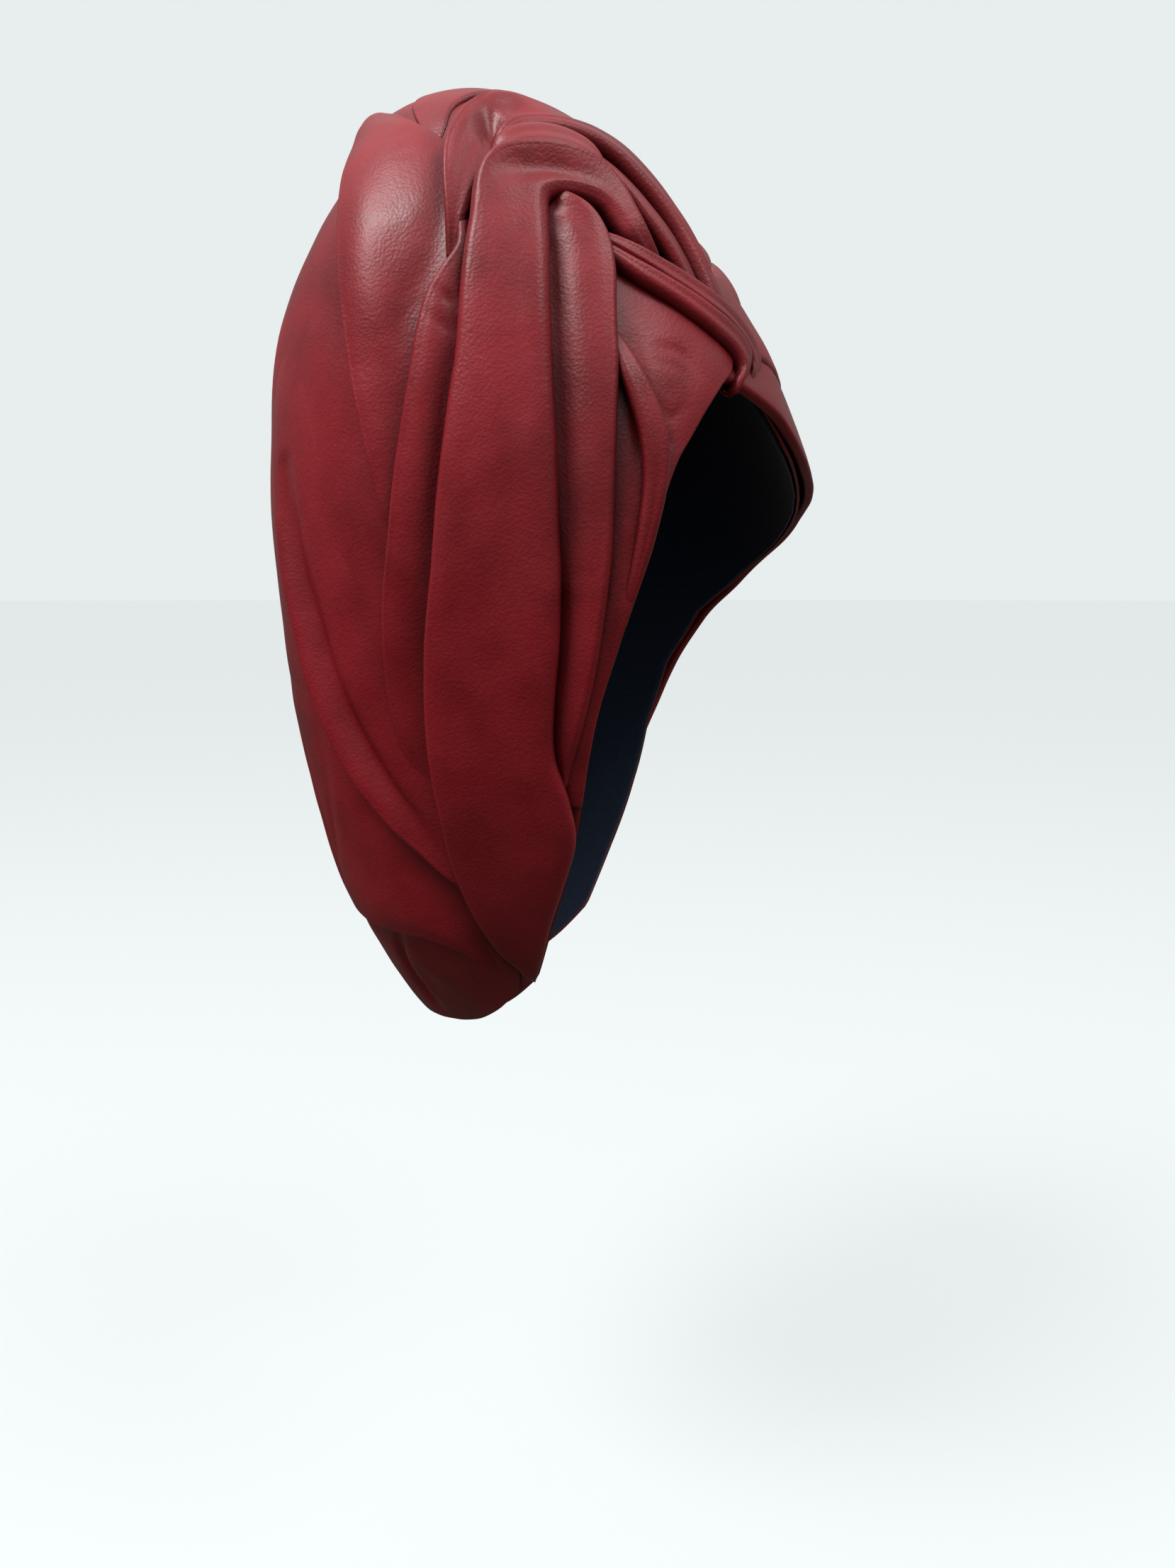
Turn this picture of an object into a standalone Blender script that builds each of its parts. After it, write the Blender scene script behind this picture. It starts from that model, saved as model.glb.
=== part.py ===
"""Leather turban headwrap, tied in one form and held up as a head holds a hat.

The wrap is laid out on a base form, the outer face of its leather cap. A place on the form is given
by two numbers: `down`, from 0 at the crown to 1 under the nape, and `turn`, degrees round from the
back, growing towards the wearer's right. The face looks along -Y. The origin is the inside of the
crown, where the head bears on the lining.
"""
import bmesh
import bpy
import numpy as np

# Sizes of the base form, in metres
HEIGHT = 0.282
HALF_WIDTH = 0.086
HALF_DEPTH = 0.084
ROUNDNESS = 2.25

# Leather and lining
LINING_WALL = 0.0012
CROWN_WALL = 0.0016
PLEAT_WALL = 0.0026
EDGE_WALL = 0.0014
FOLD_DEPTH = 0.008
LINING_GAP = 0.0008
CLEARANCE = 0.0007
SIDE_GAP = 0.9

# Colours are linear, with roughness
BURGUNDY = ((0.24, 0.022, 0.030), 0.42)
DEEP_RED = ((0.17, 0.014, 0.020), 0.42)
NAVY = ((0.010, 0.016, 0.035), 0.65)

# The base form, a row per level, evenly spaced along the way down.
# drop is a share of HEIGHT; middle and depth are shares of HALF_DEPTH; width is of HALF_WIDTH.
FORM = (
    # drop, middle, depth, width
    (0.000, -0.167, 0.000, 0.000),
    (0.020, -0.226, 0.196, 0.349),
    (0.043, -0.220, 0.339, 0.547),
    (0.089, -0.149, 0.488, 0.698),
    (0.160, -0.131, 0.655, 0.843),
    (0.262, -0.095, 0.833, 0.948),
    (0.379, -0.030, 0.935, 1.000),
    (0.507, 0.027, 0.985, 0.994),
    (0.635, 0.062, 0.973, 0.936),
    (0.748, 0.065, 0.875, 0.843),
    (0.848, 0.012, 0.696, 0.698),
    (0.933, -0.054, 0.470, 0.494),
    (0.986, -0.149, 0.220, 0.267),
    (1.000, -0.149, 0.000, 0.000),
)

# The edge of the cap round the face and the nape, a row per level. Above the notch it is a seam.
OPENING = (
    # down, turn at the right edge, turn at the left edge
    (0.000, 152.0, -208.0),
    (0.040, 152.0, -208.0),
    (0.080, 152.0, -208.0),
    (0.120, 152.0, -208.0),
    (0.160, 152.0, -208.0),
    (0.200, 152.0, -208.0),
    (0.250, 152.0, -208.0),
    (0.300, 152.0, -208.0),
    (0.350, 152.0, -208.0),
    (0.410, 152.0, -208.0),
    (0.430, 137.0, -200.0),
    (0.455, 127.5, -192.0),
    (0.478, 121.0, -174.0),
    (0.500, 117.5, -154.0),
    (0.525, 113.5, -133.0),
    (0.555, 109.0, -116.0),
    (0.595, 103.5, -106.0),
    (0.645, 100.5, -101.0),
    (0.700, 99.0, -99.0),
    (0.760, 98.0, -98.0),
    (0.820, 97.5, -97.5),
    (0.850, 92.0, -92.0),
    (0.870, 88.0, -88.0),
    (0.885, 80.0, -80.0),
)
CROWN_COLUMNS = 40
LINING_COLUMNS = 24


# The panel behind the main pleats on the right: its lip and the crease in front of it.
BACK_FOLD = (
    # down, turn of the lip, turn of the crease, lift
    (0.155, 20.0, 36.0, 0.50),
    (0.180, 34.0, 50.0, 0.80),
    (0.205, 45.0, 59.0, 1.00),
    (0.235, 49.5, 67.0, 1.00),
    (0.270, 53.0, 82.0, 1.00),
    (0.310, 56.5, 87.0, 1.00),
    (0.350, 62.0, 86.0, 1.00),
    (0.390, 66.0, 81.5, 0.90),
    (0.430, 67.5, 78.0, 0.80),
    (0.470, 69.0, 74.5, 0.60),
    (0.500, 70.0, 71.8, 0.30),
)
BACK_FOLD_PROFILE = (
    # place across, from crease to crease; height as a share of FOLD_DEPTH
    (0.00, 0.00),
    (0.06, 0.34),
    (0.35, 0.40),
    (0.70, 0.36),
    (1.00, 0.00),
)

# The three main pleats on the right, with the creases between them.
MAIN_PLEATS = (
    # down, turns of: rear edge, first crease, second crease, front edge; lift
    (0.332, 88.0, 91.0, 108.5, 115.0, 0.80),
    (0.345, 87.5, 90.5, 108.0, 119.0, 0.95),
    (0.370, 84.5, 89.0, 106.0, 120.0, 1.00),
    (0.400, 80.5, 87.5, 104.0, 117.0, 1.00),
    (0.430, 78.0, 85.5, 102.0, 114.3, 1.00),
    (0.460, 75.5, 83.5, 100.0, 112.0, 1.00),
    (0.490, 73.0, 80.5, 99.0, 109.5, 1.00),
    (0.520, 71.0, 78.5, 98.2, 106.8, 1.00),
    (0.560, 68.5, 77.0, 97.5, 104.0, 1.00),
    (0.600, 67.2, 75.5, 96.3, 101.5, 0.95),
    (0.640, 69.0, 74.5, 95.0, 98.2, 0.90),
    (0.680, 72.5, 75.8, 94.0, 97.0, 0.85),
    (0.720, 77.0, 79.2, 94.0, 96.8, 0.80),
    (0.755, 82.0, 84.0, 94.5, 96.5, 0.70),
    (0.785, 86.5, 88.5, 95.0, 96.5, 0.55),
    (0.812, 91.5, 93.0, 95.5, 96.5, 0.30),
)
MAIN_PLEAT_PROFILE = (
    # place across, from crease to crease; height as a share of FOLD_DEPTH
    (0.00, 0.00),
    (0.20, 0.50),
    (0.60, 0.56),
    (0.92, 0.44),
    (1.07, 0.88),
    (1.35, 0.98),
    (1.65, 0.96),
    (1.93, 0.84),
    (2.08, 0.48),
    (2.45, 0.66),
    (2.88, 0.58),
    (3.00, 0.00),
)

# The flat panel along the face opening on the right, with its slender pleat.
FRONT_BAND = (
    # down, turn of the crease, turn of the opening, lift
    (0.372, 121.5, 126.0, 0.70),
    (0.385, 120.0, 131.5, 0.90),
    (0.398, 118.5, 138.5, 1.00),
    (0.410, 117.5, 142.5, 1.00),
    (0.422, 116.5, 141.0, 1.00),
    (0.435, 115.2, 134.5, 1.00),
    (0.455, 113.5, 127.0, 1.00),
    (0.480, 111.5, 120.0, 1.00),
    (0.510, 109.0, 115.2, 1.00),
    (0.545, 106.3, 109.6, 0.80),
    (0.580, 104.2, 105.6, 0.40),
)
FRONT_BAND_PROFILE = (
    # place across, from crease to crease; height as a share of FOLD_DEPTH
    (0.00, 0.00),
    (0.12, 0.24),
    (0.24, 0.40),
    (0.34, 0.26),
    (0.65, 0.30),
    (0.92, 0.28),
    (1.00, 0.00),
)

# Pieces with two free edges are given by both edges of each station.
KNOT_LOOP = (
    # down and turn of the upper edge, down and turn of the lower edge, lift
    (0.318, 92.0, 0.326, 95.0, 0.35),
    (0.300, 93.0, 0.322, 98.5, 0.75),
    (0.289, 97.5, 0.317, 102.5, 0.95),
    (0.284, 104.0, 0.315, 107.5, 1.00),
    (0.284, 111.5, 0.314, 112.5, 1.00),
    (0.287, 119.0, 0.317, 118.0, 0.95),
    (0.298, 126.0, 0.328, 121.0, 0.90),
    (0.314, 131.5, 0.336, 122.8, 0.80),
    (0.330, 134.5, 0.341, 125.0, 0.65),
    (0.341, 135.0, 0.346, 128.0, 0.40),
)
KNOT_LOOP_PROFILE = (
    # place across, from crease to crease; height as a share of FOLD_DEPTH
    (0.00, 0.00),
    (0.14, 0.90),
    (0.40, 1.30),
    (0.70, 1.10),
    (0.90, 0.70),
    (1.00, 0.00),
)

TOP_TWIST = (
    # down and turn of the rear edge, down and turn of the front edge, lift
    (0.325, 89.0, 0.325, 90.8, 0.40),
    (0.300, 88.8, 0.300, 91.5, 0.70),
    (0.278, 88.5, 0.280, 94.5, 0.90),
    (0.262, 87.5, 0.266, 98.5, 1.00),
    (0.246, 87.5, 0.253, 101.5, 1.00),
    (0.228, 89.0, 0.243, 104.5, 0.90),
    (0.212, 94.0, 0.236, 108.5, 0.70),
    (0.200, 102.0, 0.230, 114.0, 0.40),
)
TOP_TWIST_PROFILE = (
    # place across, from crease to crease; height as a share of FOLD_DEPTH
    (0.00, 0.00),
    (0.14, 0.75),
    (0.42, 0.90),
    (0.60, 0.55),
    (0.84, 0.95),
    (1.00, 0.00),
)

CROWN_FOLDS = (
    # down and turn of the rear edge, down and turn of the front edge, lift
    (0.236, 72.0, 0.248, 82.5, 0.40),
    (0.215, 66.0, 0.222, 84.0, 0.50),
    (0.190, 60.0, 0.196, 84.0, 0.55),
    (0.158, 50.0, 0.165, 86.0, 0.55),
    (0.120, 36.0, 0.132, 92.0, 0.55),
    (0.086, 8.0, 0.098, 104.0, 0.55),
    (0.078, -40.0, 0.074, 132.0, 0.55),
    (0.104, -72.0, 0.074, 188.0, 0.55),
    (0.140, -86.0, 0.104, 218.0, 0.50),
    (0.180, -93.0, 0.150, 232.0, 0.40),
)
CROWN_FOLDS_PROFILE = (
    # place across, from crease to crease; height as a share of FOLD_DEPTH
    (0.00, 0.00),
    (0.12, 0.42),
    (0.30, 0.56),
    (0.46, 0.34),
    (0.66, 0.62),
    (0.88, 0.44),
    (1.00, 0.00),
)

LEFT_WRAP = (
    # down and turn of the rear edge, down and turn of the front edge, lift
    (0.810, -91.5, 0.812, -96.0, 0.30),
    (0.760, -82.5, 0.765, -96.0, 0.70),
    (0.700, -74.0, 0.700, -96.0, 0.90),
    (0.640, -69.0, 0.640, -97.0, 1.00),
    (0.580, -67.0, 0.580, -100.0, 1.00),
    (0.520, -68.0, 0.520, -104.0, 1.00),
    (0.460, -70.0, 0.465, -110.0, 1.00),
    (0.400, -73.0, 0.415, -119.0, 1.00),
    (0.340, -78.0, 0.370, -132.0, 1.00),
    (0.300, -85.0, 0.345, -140.0, 0.95),
    (0.262, -100.0, 0.330, -160.0, 0.85),
    (0.242, -120.0, 0.322, -178.0, 0.75),
    (0.238, -145.0, 0.322, -193.0, 0.70),
    (0.248, -170.0, 0.330, -205.0, 0.65),
    (0.260, -190.0, 0.340, -214.0, 0.80),
    (0.266, -203.0, 0.345, -219.0, 0.95),
    (0.262, -212.0, 0.335, -222.5, 1.10),
    (0.252, -219.0, 0.315, -225.5, 1.15),
    (0.242, -227.0, 0.297, -231.0, 1.10),
    (0.238, -238.0, 0.284, -239.0, 0.95),
    (0.243, -248.0, 0.277, -249.0, 0.75),
    (0.258, -256.5, 0.280, -256.5, 0.45),
)
LEFT_WRAP_PROFILE = (
    # place across, from crease to crease; height as a share of FOLD_DEPTH
    (0.00, 0.00),
    (0.07, 0.62),
    (0.26, 0.74),
    (0.40, 0.36),
    (0.50, 0.74),
    (0.66, 0.80),
    (0.76, 0.40),
    (0.86, 0.80),
    (0.95, 0.66),
    (1.00, 0.00),
)

LEFT_FRONT_ARM = (
    # down and turn of the upper edge, down and turn of the lower edge, lift
    (0.350, 122.0, 0.361, 121.0, 0.50),
    (0.352, 129.0, 0.370, 127.5, 0.75),
    (0.355, 136.0, 0.382, 134.0, 0.80),
    (0.362, 142.0, 0.394, 140.0, 0.75),
    (0.366, 149.0, 0.404, 145.5, 0.65),
    (0.360, 157.0, 0.414, 152.5, 0.55),
    (0.346, 166.0, 0.430, 158.0, 0.50),
    (0.336, 176.0, 0.448, 165.0, 0.50),
    (0.334, 188.0, 0.466, 177.0, 0.55),
    (0.344, 206.0, 0.484, 194.0, 0.65),
    (0.372, 224.0, 0.505, 213.0, 0.75),
    (0.415, 238.0, 0.530, 232.0, 0.80),
    (0.465, 248.0, 0.560, 245.0, 0.80),
    (0.520, 254.0, 0.595, 253.0, 0.75),
    (0.580, 258.5, 0.635, 258.0, 0.50),
)
LEFT_FRONT_ARM_PROFILE = (
    # place across, from crease to crease; height as a share of FOLD_DEPTH
    (0.00, 0.00),
    (0.12, 0.80),
    (0.32, 0.92),
    (0.48, 0.42),
    (0.64, 0.86),
    (0.88, 0.62),
    (1.00, 0.00),
)

NAPE_WRAP = (
    # down and turn of the upper edge, down and turn of the lower edge, lift
    (0.828, 93.5, 0.838, 93.8, 0.20),
    (0.800, 85.5, 0.868, 86.0, 0.60),
    (0.760, 77.0, 0.880, 76.0, 0.65),
    (0.715, 66.0, 0.882, 64.0, 0.70),
    (0.668, 52.0, 0.882, 50.0, 0.70),
    (0.625, 36.0, 0.882, 34.0, 0.70),
    (0.598, 18.0, 0.882, 17.0, 0.70),
    (0.590, 0.0, 0.882, 0.0, 0.70),
    (0.598, -18.0, 0.882, -17.0, 0.70),
    (0.625, -36.0, 0.882, -34.0, 0.70),
    (0.668, -52.0, 0.882, -50.0, 0.70),
    (0.715, -66.0, 0.882, -64.0, 0.70),
    (0.760, -77.0, 0.880, -76.0, 0.65),
    (0.800, -85.5, 0.868, -86.0, 0.60),
    (0.828, -93.5, 0.838, -93.8, 0.20),
)
NAPE_WRAP_PROFILE = (
    # place across, from crease to crease; height as a share of FOLD_DEPTH
    (0.00, 0.00),
    (0.07, 0.36),
    (0.26, 0.40),
    (0.44, 0.24),
    (0.52, 0.44),
    (0.74, 0.50),
    (0.93, 0.34),
    (1.00, 0.00),
)


def between(table, at):
    """Smooth values through evenly spaced table rows, whose first and last row only set the ends."""
    spans = len(table) - 3
    place = np.clip(at, 0, 1) * spans
    row = np.minimum(place.astype(int), spans - 1)
    t = (place - row)[..., None]
    before, start, end, after = (table[row + k] for k in range(4))
    slope = end - before
    bend = 2 * before - 5 * start + 4 * end - after
    twist = 3 * start - before - 3 * end + after
    return start + 0.5 * (slope * t + bend * t**2 + twist * t**3)


def through(rows, at):
    """Smooth values through evenly spaced table rows, at places from 0 to 1."""
    return between(np.vstack([2 * rows[0] - rows[1], rows, 2 * rows[-1] - rows[-2]]), at)


def form_section(down):
    """Drop, middle, depth and width of the form, in metres."""
    rows = np.array(FORM)
    mirror = 2 * rows[[0, -1]] - rows[[1, -2]]
    mirror[:, 0] = rows[[1, -2], 0]
    shares = between(np.vstack([mirror[:1], rows, mirror[1:]]), down)
    return np.moveaxis(shares * (HEIGHT, HALF_DEPTH, HALF_DEPTH, HALF_WIDTH), -1, 0)


def rounded(ratio):
    """A superellipse's share for a cosine or a sine."""
    return np.sign(ratio) * np.abs(ratio) ** (2 / ROUNDNESS)


def on_form(down, turn):
    """Places on the base form, in metres."""
    drop, middle, depth, width = form_section(down)
    angle = np.radians(turn)
    across = -width * rounded(np.sin(angle))
    forward = middle - FORM[0][1] * HALF_DEPTH - depth * rounded(np.cos(angle))
    seat = LINING_WALL + LINING_GAP + CROWN_WALL
    return np.stack([across, -forward, seat - drop], -1)


def normals(down, turn):
    """Outward directions of the base form."""
    step, swing = 0.002, 0.5
    higher, lower = np.maximum(down - step, 0.001), np.minimum(np.maximum(down, 0.001) + step, 1)
    along = on_form(lower, turn) - on_form(higher, turn)
    round_it = on_form(np.maximum(down, 0.001), turn + swing) - on_form(np.maximum(down, 0.001), turn - swing)
    out = np.cross(along, round_it)
    return out / np.linalg.norm(out, axis=-1, keepdims=True)


def lifted(down, turn, height):
    """Places at a height over the base form."""
    out = normals(down, turn)
    out[down <= 0] = (0, 0, 1)
    return on_form(down, turn) + out * height[..., None]


def add_body(name, outer, inner, finish):
    """A closed body between two grids of points; points that coincide are one vertex."""
    numbers, points = {}, []

    def number(point):
        key = tuple(np.round(point * 1e6).astype(int))
        if key not in numbers:
            numbers[key] = len(points)
            points.append(tuple(point))
        return numbers[key]

    out = np.array([[number(p) for p in row] for row in outer])
    back = np.array([[number(p) for p in row] for row in inner])
    rows, columns = out.shape
    loops = []
    for i in range(rows - 1):
        for j in range(columns - 1):
            loops.append((out[i, j], out[i + 1, j], out[i + 1, j + 1], out[i, j + 1]))
            loops.append((back[i, j], back[i, j + 1], back[i + 1, j + 1], back[i + 1, j]))
        if (out[i : i + 2, 0] != out[i : i + 2, -1]).any():
            loops.append((back[i, 0], back[i + 1, 0], out[i + 1, 0], out[i, 0]))
            loops.append((out[i, -1], out[i + 1, -1], back[i + 1, -1], back[i, -1]))
    for j in range(columns - 1):
        loops.append((out[0, j], out[0, j + 1], back[0, j + 1], back[0, j]))
        loops.append((back[-1, j], back[-1, j + 1], out[-1, j + 1], out[-1, j]))
    faces = [tuple(dict.fromkeys(int(k) for k in loop)) for loop in loops]
    mesh = bpy.data.meshes.new(name)
    mesh.from_pydata(points, [], [face for face in faces if len(face) > 2])
    mesh.validate()
    face_outwards(mesh)
    mesh.materials.append(material(name, finish))
    mesh.shade_smooth()
    body = bpy.data.objects.new(name, mesh)
    bpy.context.scene.collection.objects.link(body)
    return body


def face_outwards(mesh):
    """Turn a closed mesh's faces outwards."""
    work = bmesh.new()
    work.from_mesh(mesh)
    bmesh.ops.recalc_face_normals(work, faces=work.faces)
    work.to_mesh(mesh)
    work.free()


def material(name, finish):
    """A plain material with the leather's or the lining's colour."""
    colour, roughness = finish
    made = bpy.data.materials.new(name)
    made.use_nodes = True
    shader = made.node_tree.nodes["Principled BSDF"]
    shader.inputs["Base Color"].default_value = (*colour, 1.0)
    shader.inputs["Roughness"].default_value = roughness
    shader.inputs["Metallic"].default_value = 0.0
    return made


def add_shell(name, top, wall, columns, finish):
    """A full shell of the form, with the face and nape open; top is its outer face's height."""
    rows = np.array(OPENING)
    down = np.repeat(rows[:, :1], columns + 1, axis=1)
    turn = np.clip(np.linspace(rows[0, 2], rows[0, 1], columns + 1), rows[:, 2:], rows[:, 1:2])
    height = np.full(down.shape, top)
    outer = lifted(down, turn, height)
    inner = lifted(down, turn, height - wall)
    closed = rows[:, 1] - rows[:, 2] >= 360
    for grid in (outer, inner):
        grid[closed, -1] = grid[closed, 0]
        grid[0] = grid[0, 0]
    return add_body(name, outer, inner, finish)


def laid_flat(places):
    """Places given by down and turn, as seen from above with the crown in the middle."""
    down, turn = np.moveaxis(np.asarray(places, float), -1, 0)
    angle = np.radians(turn)
    return np.stack([down * np.sin(angle), down * np.cos(angle)], axis=-1)


def add_pleats(name, creases, lift, profile, stations, finish):
    """Folded leather over the crown. creases holds down and turn of each crease at each row."""
    flat = laid_flat(creases)
    rows = np.concatenate([flat.reshape(len(flat), -1), np.asarray(lift)[:, None]], axis=1)
    table = through(rows, np.linspace(0, 1, stations))
    lines = table[:, :-1].reshape(stations, -1, 2)
    grid, height = [], []
    for place, rise in profile:
        crease = min(int(place), lines.shape[1] - 2)
        grid.append(lines[:, crease] + (lines[:, crease + 1] - lines[:, crease]) * (place - crease))
        height.append(table[:, -1] * rise * FOLD_DEPTH)
    across, back = np.moveaxis(np.stack(grid, axis=1), -1, 0)
    down, turn = np.hypot(across, back), np.degrees(np.arctan2(across, back))
    top = np.maximum(np.stack(height, axis=1), CLEARANCE + EDGE_WALL)
    outer = lifted(down, turn, top)
    inner = lifted(down, turn, np.maximum(CLEARANCE, top - PLEAT_WALL))
    return add_body(name, outer, inner, finish)


def level_creases(table):
    """Crease places of a table whose rows are level."""
    rows = np.array(table)
    turns = rows[:, 1:-1]
    down = np.repeat(rows[:, :1], turns.shape[1], axis=1)
    return np.stack([down, turns], axis=-1), rows[:, -1]


def edge_creases(table):
    """Crease places of a table that gives both edges of each station."""
    rows = np.array(table)
    return rows[:, :-1].reshape(len(rows), 2, 2), rows[:, -1]


def build_back_fold():
    creases, lift = level_creases(BACK_FOLD)
    creases[:, -1, 1] -= SIDE_GAP
    return add_pleats("right_back_fold", creases, lift, BACK_FOLD_PROFILE, 18, DEEP_RED)


def build_main_pleats():
    creases, lift = level_creases(MAIN_PLEATS)
    return add_pleats("right_wrap", creases, lift, MAIN_PLEAT_PROFILE, 24, BURGUNDY)


def build_front_band():
    creases, lift = level_creases(FRONT_BAND)
    return add_pleats("right_front_band", creases, lift, FRONT_BAND_PROFILE, 16, DEEP_RED)


def main():
    for old in list(bpy.data.objects):
        bpy.data.objects.remove(old, do_unlink=True)
    add_shell("lining", -CROWN_WALL - LINING_GAP, LINING_WALL, LINING_COLUMNS, NAVY)
    add_shell("crown", 0.0, CROWN_WALL, CROWN_COLUMNS, DEEP_RED)
    build_back_fold()
    build_main_pleats()
    build_front_band()
    for name, table, profile, stations, finish in (
        ("knot_loop", KNOT_LOOP, KNOT_LOOP_PROFILE, 18, BURGUNDY),
        ("top_twist", TOP_TWIST, TOP_TWIST_PROFILE, 14, BURGUNDY),
        ("crown_folds", CROWN_FOLDS, CROWN_FOLDS_PROFILE, 26, DEEP_RED),
        ("left_wrap", LEFT_WRAP, LEFT_WRAP_PROFILE, 34, BURGUNDY),
        ("left_front_arm", LEFT_FRONT_ARM, LEFT_FRONT_ARM_PROFILE, 26, BURGUNDY),
        ("nape_wrap", NAPE_WRAP, NAPE_WRAP_PROFILE, 25, DEEP_RED),
    ):
        creases, lift = edge_creases(table)
        add_pleats(name, creases, lift, profile, stations, finish)


main()
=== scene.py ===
"""A pre-tied leather turban headwrap, dressed over its CAD frame.

Each leather panel is cut flat as a grid, then laid in its worn place on the base form of the wrap. A
place on that form is given by `down`, from 0 at the crown to 1 under the nape, and `turn`, degrees
round from the back towards the wearer's right. Heights over the form are in millimetres.
"""

import logging
from dataclasses import dataclass
from enum import Enum

import bpy
import numpy as np
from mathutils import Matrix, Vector, noise


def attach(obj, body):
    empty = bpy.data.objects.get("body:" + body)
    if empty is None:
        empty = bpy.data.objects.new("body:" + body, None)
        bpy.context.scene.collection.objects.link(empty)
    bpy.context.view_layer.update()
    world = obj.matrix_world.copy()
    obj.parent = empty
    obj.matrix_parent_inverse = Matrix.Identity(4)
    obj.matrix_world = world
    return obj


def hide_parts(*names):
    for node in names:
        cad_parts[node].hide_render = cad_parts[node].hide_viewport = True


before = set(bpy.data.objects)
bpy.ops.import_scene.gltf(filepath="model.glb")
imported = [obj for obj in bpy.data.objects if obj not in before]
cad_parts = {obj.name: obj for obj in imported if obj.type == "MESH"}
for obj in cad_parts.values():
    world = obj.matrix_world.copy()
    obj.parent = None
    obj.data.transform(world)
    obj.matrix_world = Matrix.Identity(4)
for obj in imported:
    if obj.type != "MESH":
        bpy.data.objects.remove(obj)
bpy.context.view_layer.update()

LOG = logging.getLogger("headwrap")
MM = 0.001
# A point inside the wrap, in metres; all the leather faces away from it
HEAD_MIDDLE = np.array([0.0, 0.0, -0.11])
Table = tuple[tuple[float, ...], ...]
Place = tuple[float, float, float]

# The base form


def spline(table: np.ndarray, at: np.ndarray) -> np.ndarray:
    """Read a table of evenly spaced rows on a smooth curve through them.

    Args:
        table: The rows.
        at: Places along the table, from 0 at its first row to 1 at its last.

    Returns:
        One row of values for each place.
    """
    first = 2 * table[:1] - table[1:2]
    last = 2 * table[-1:] - table[-2:-1]
    rows = np.vstack([first, table, last])
    place = np.clip(np.asarray(at, float), 0.0, 1.0) * (len(table) - 1)
    left = np.clip(place.astype(int), 0, len(table) - 2)
    step = (place - left)[..., None]
    before, here, there, after = (rows[left + shift] for shift in range(4))
    return 0.5 * (
        2 * here
        + (there - before) * step
        + (2 * before - 5 * here + 4 * there - after) * step**2
        + (3 * here - before - 3 * there + after) * step**3
    )


@dataclass(frozen=True)
class HeadForm:
    """The outer face of the leather cap, which every panel is laid on."""

    height: float = 0.282
    half_width: float = 0.086
    half_depth: float = 0.084
    roundness: float = 2.25
    seat: float = 0.0036
    pole_gap: float = 0.004
    level_step: float = 0.003
    turn_step: float = 0.8
    rows: Table = (
        # drop, middle, depth, width, as shares of the sizes above
        (0.000, -0.167, 0.000, 0.000),
        (0.020, -0.226, 0.196, 0.349),
        (0.043, -0.220, 0.339, 0.547),
        (0.089, -0.149, 0.488, 0.698),
        (0.160, -0.131, 0.655, 0.843),
        (0.262, -0.095, 0.833, 0.948),
        (0.379, -0.030, 0.935, 1.000),
        (0.507, 0.027, 0.985, 0.994),
        (0.635, 0.062, 0.973, 0.936),
        (0.748, 0.065, 0.875, 0.843),
        (0.848, 0.012, 0.696, 0.698),
        (0.933, -0.054, 0.470, 0.494),
        (0.986, -0.149, 0.220, 0.267),
        (1.000, -0.149, 0.000, 0.000),
    )

    def section(self, down: np.ndarray) -> tuple[np.ndarray, ...]:
        """Give the drop, middle, half depth and half width of the form at each level.

        Args:
            down: Levels, from 0 to 1.

        Returns:
            Four arrays in metres.
        """
        rows = np.array(self.rows)
        # A row beyond each pole mirrors the one inside it, so that the poles come out round
        beyond = rows[[1, -2]].copy()
        beyond[:, 2:] *= -1
        table = np.vstack([beyond[:1], rows, beyond[1:]])
        at = (np.clip(down, 0.0, 1.0) * (len(rows) - 1) + 1) / (len(table) - 1)
        shares = spline(table, at)
        return (
            shares[..., 0] * self.height,
            shares[..., 1] * self.half_depth,
            shares[..., 2] * self.half_depth,
            shares[..., 3] * self.half_width,
        )

    def place(self, down: np.ndarray, turn: np.ndarray) -> np.ndarray:
        """Give the points of the form at some levels and turns.

        Args:
            down: Levels.
            turn: Turns in degrees.

        Returns:
            Points in metres.
        """
        drop, middle, depth, width = self.section(down)
        angle = np.radians(turn)
        power = 2 / self.roundness
        round_side = np.sign(np.sin(angle)) * np.abs(np.sin(angle)) ** power
        round_back = np.sign(np.cos(angle)) * np.abs(np.cos(angle)) ** power
        across = -width * round_side
        forward = middle - self.rows[0][1] * self.half_depth - depth * round_back
        return np.stack([across, -forward, self.seat - drop], -1)

    def outward(self, down: np.ndarray, turn: np.ndarray) -> np.ndarray:
        """Give the unit normals of the form at some levels and turns.

        Args:
            down: Levels.
            turn: Turns in degrees.

        Returns:
            Unit vectors that point away from the head.
        """
        level = np.clip(down, self.pole_gap, 1 - self.pole_gap)
        along = self.place(level + self.level_step, turn) - self.place(level - self.level_step, turn)
        around = self.place(level, turn + self.turn_step) - self.place(level, turn - self.turn_step)
        normal = np.cross(along, around)
        return normal / (np.linalg.norm(normal, axis=-1, keepdims=True) + 1e-12)


FORM = HeadForm()


def to_plane(down: np.ndarray, turn: np.ndarray) -> np.ndarray:
    """Lay places out flat round the crown, as complex numbers."""
    return np.asarray(down, float) * np.exp(1j * np.radians(np.asarray(turn, float)))


def from_plane(flat: np.ndarray) -> tuple[np.ndarray, np.ndarray]:
    """Turn flat places back into levels and turns."""
    return np.abs(flat), np.degrees(np.angle(flat))


def away_from_head(points: np.ndarray) -> np.ndarray:
    """Give unit vectors from the middle of the head towards some points."""
    away = points - HEAD_MIDDLE
    return away / np.linalg.norm(away, axis=-1, keepdims=True)


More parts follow.
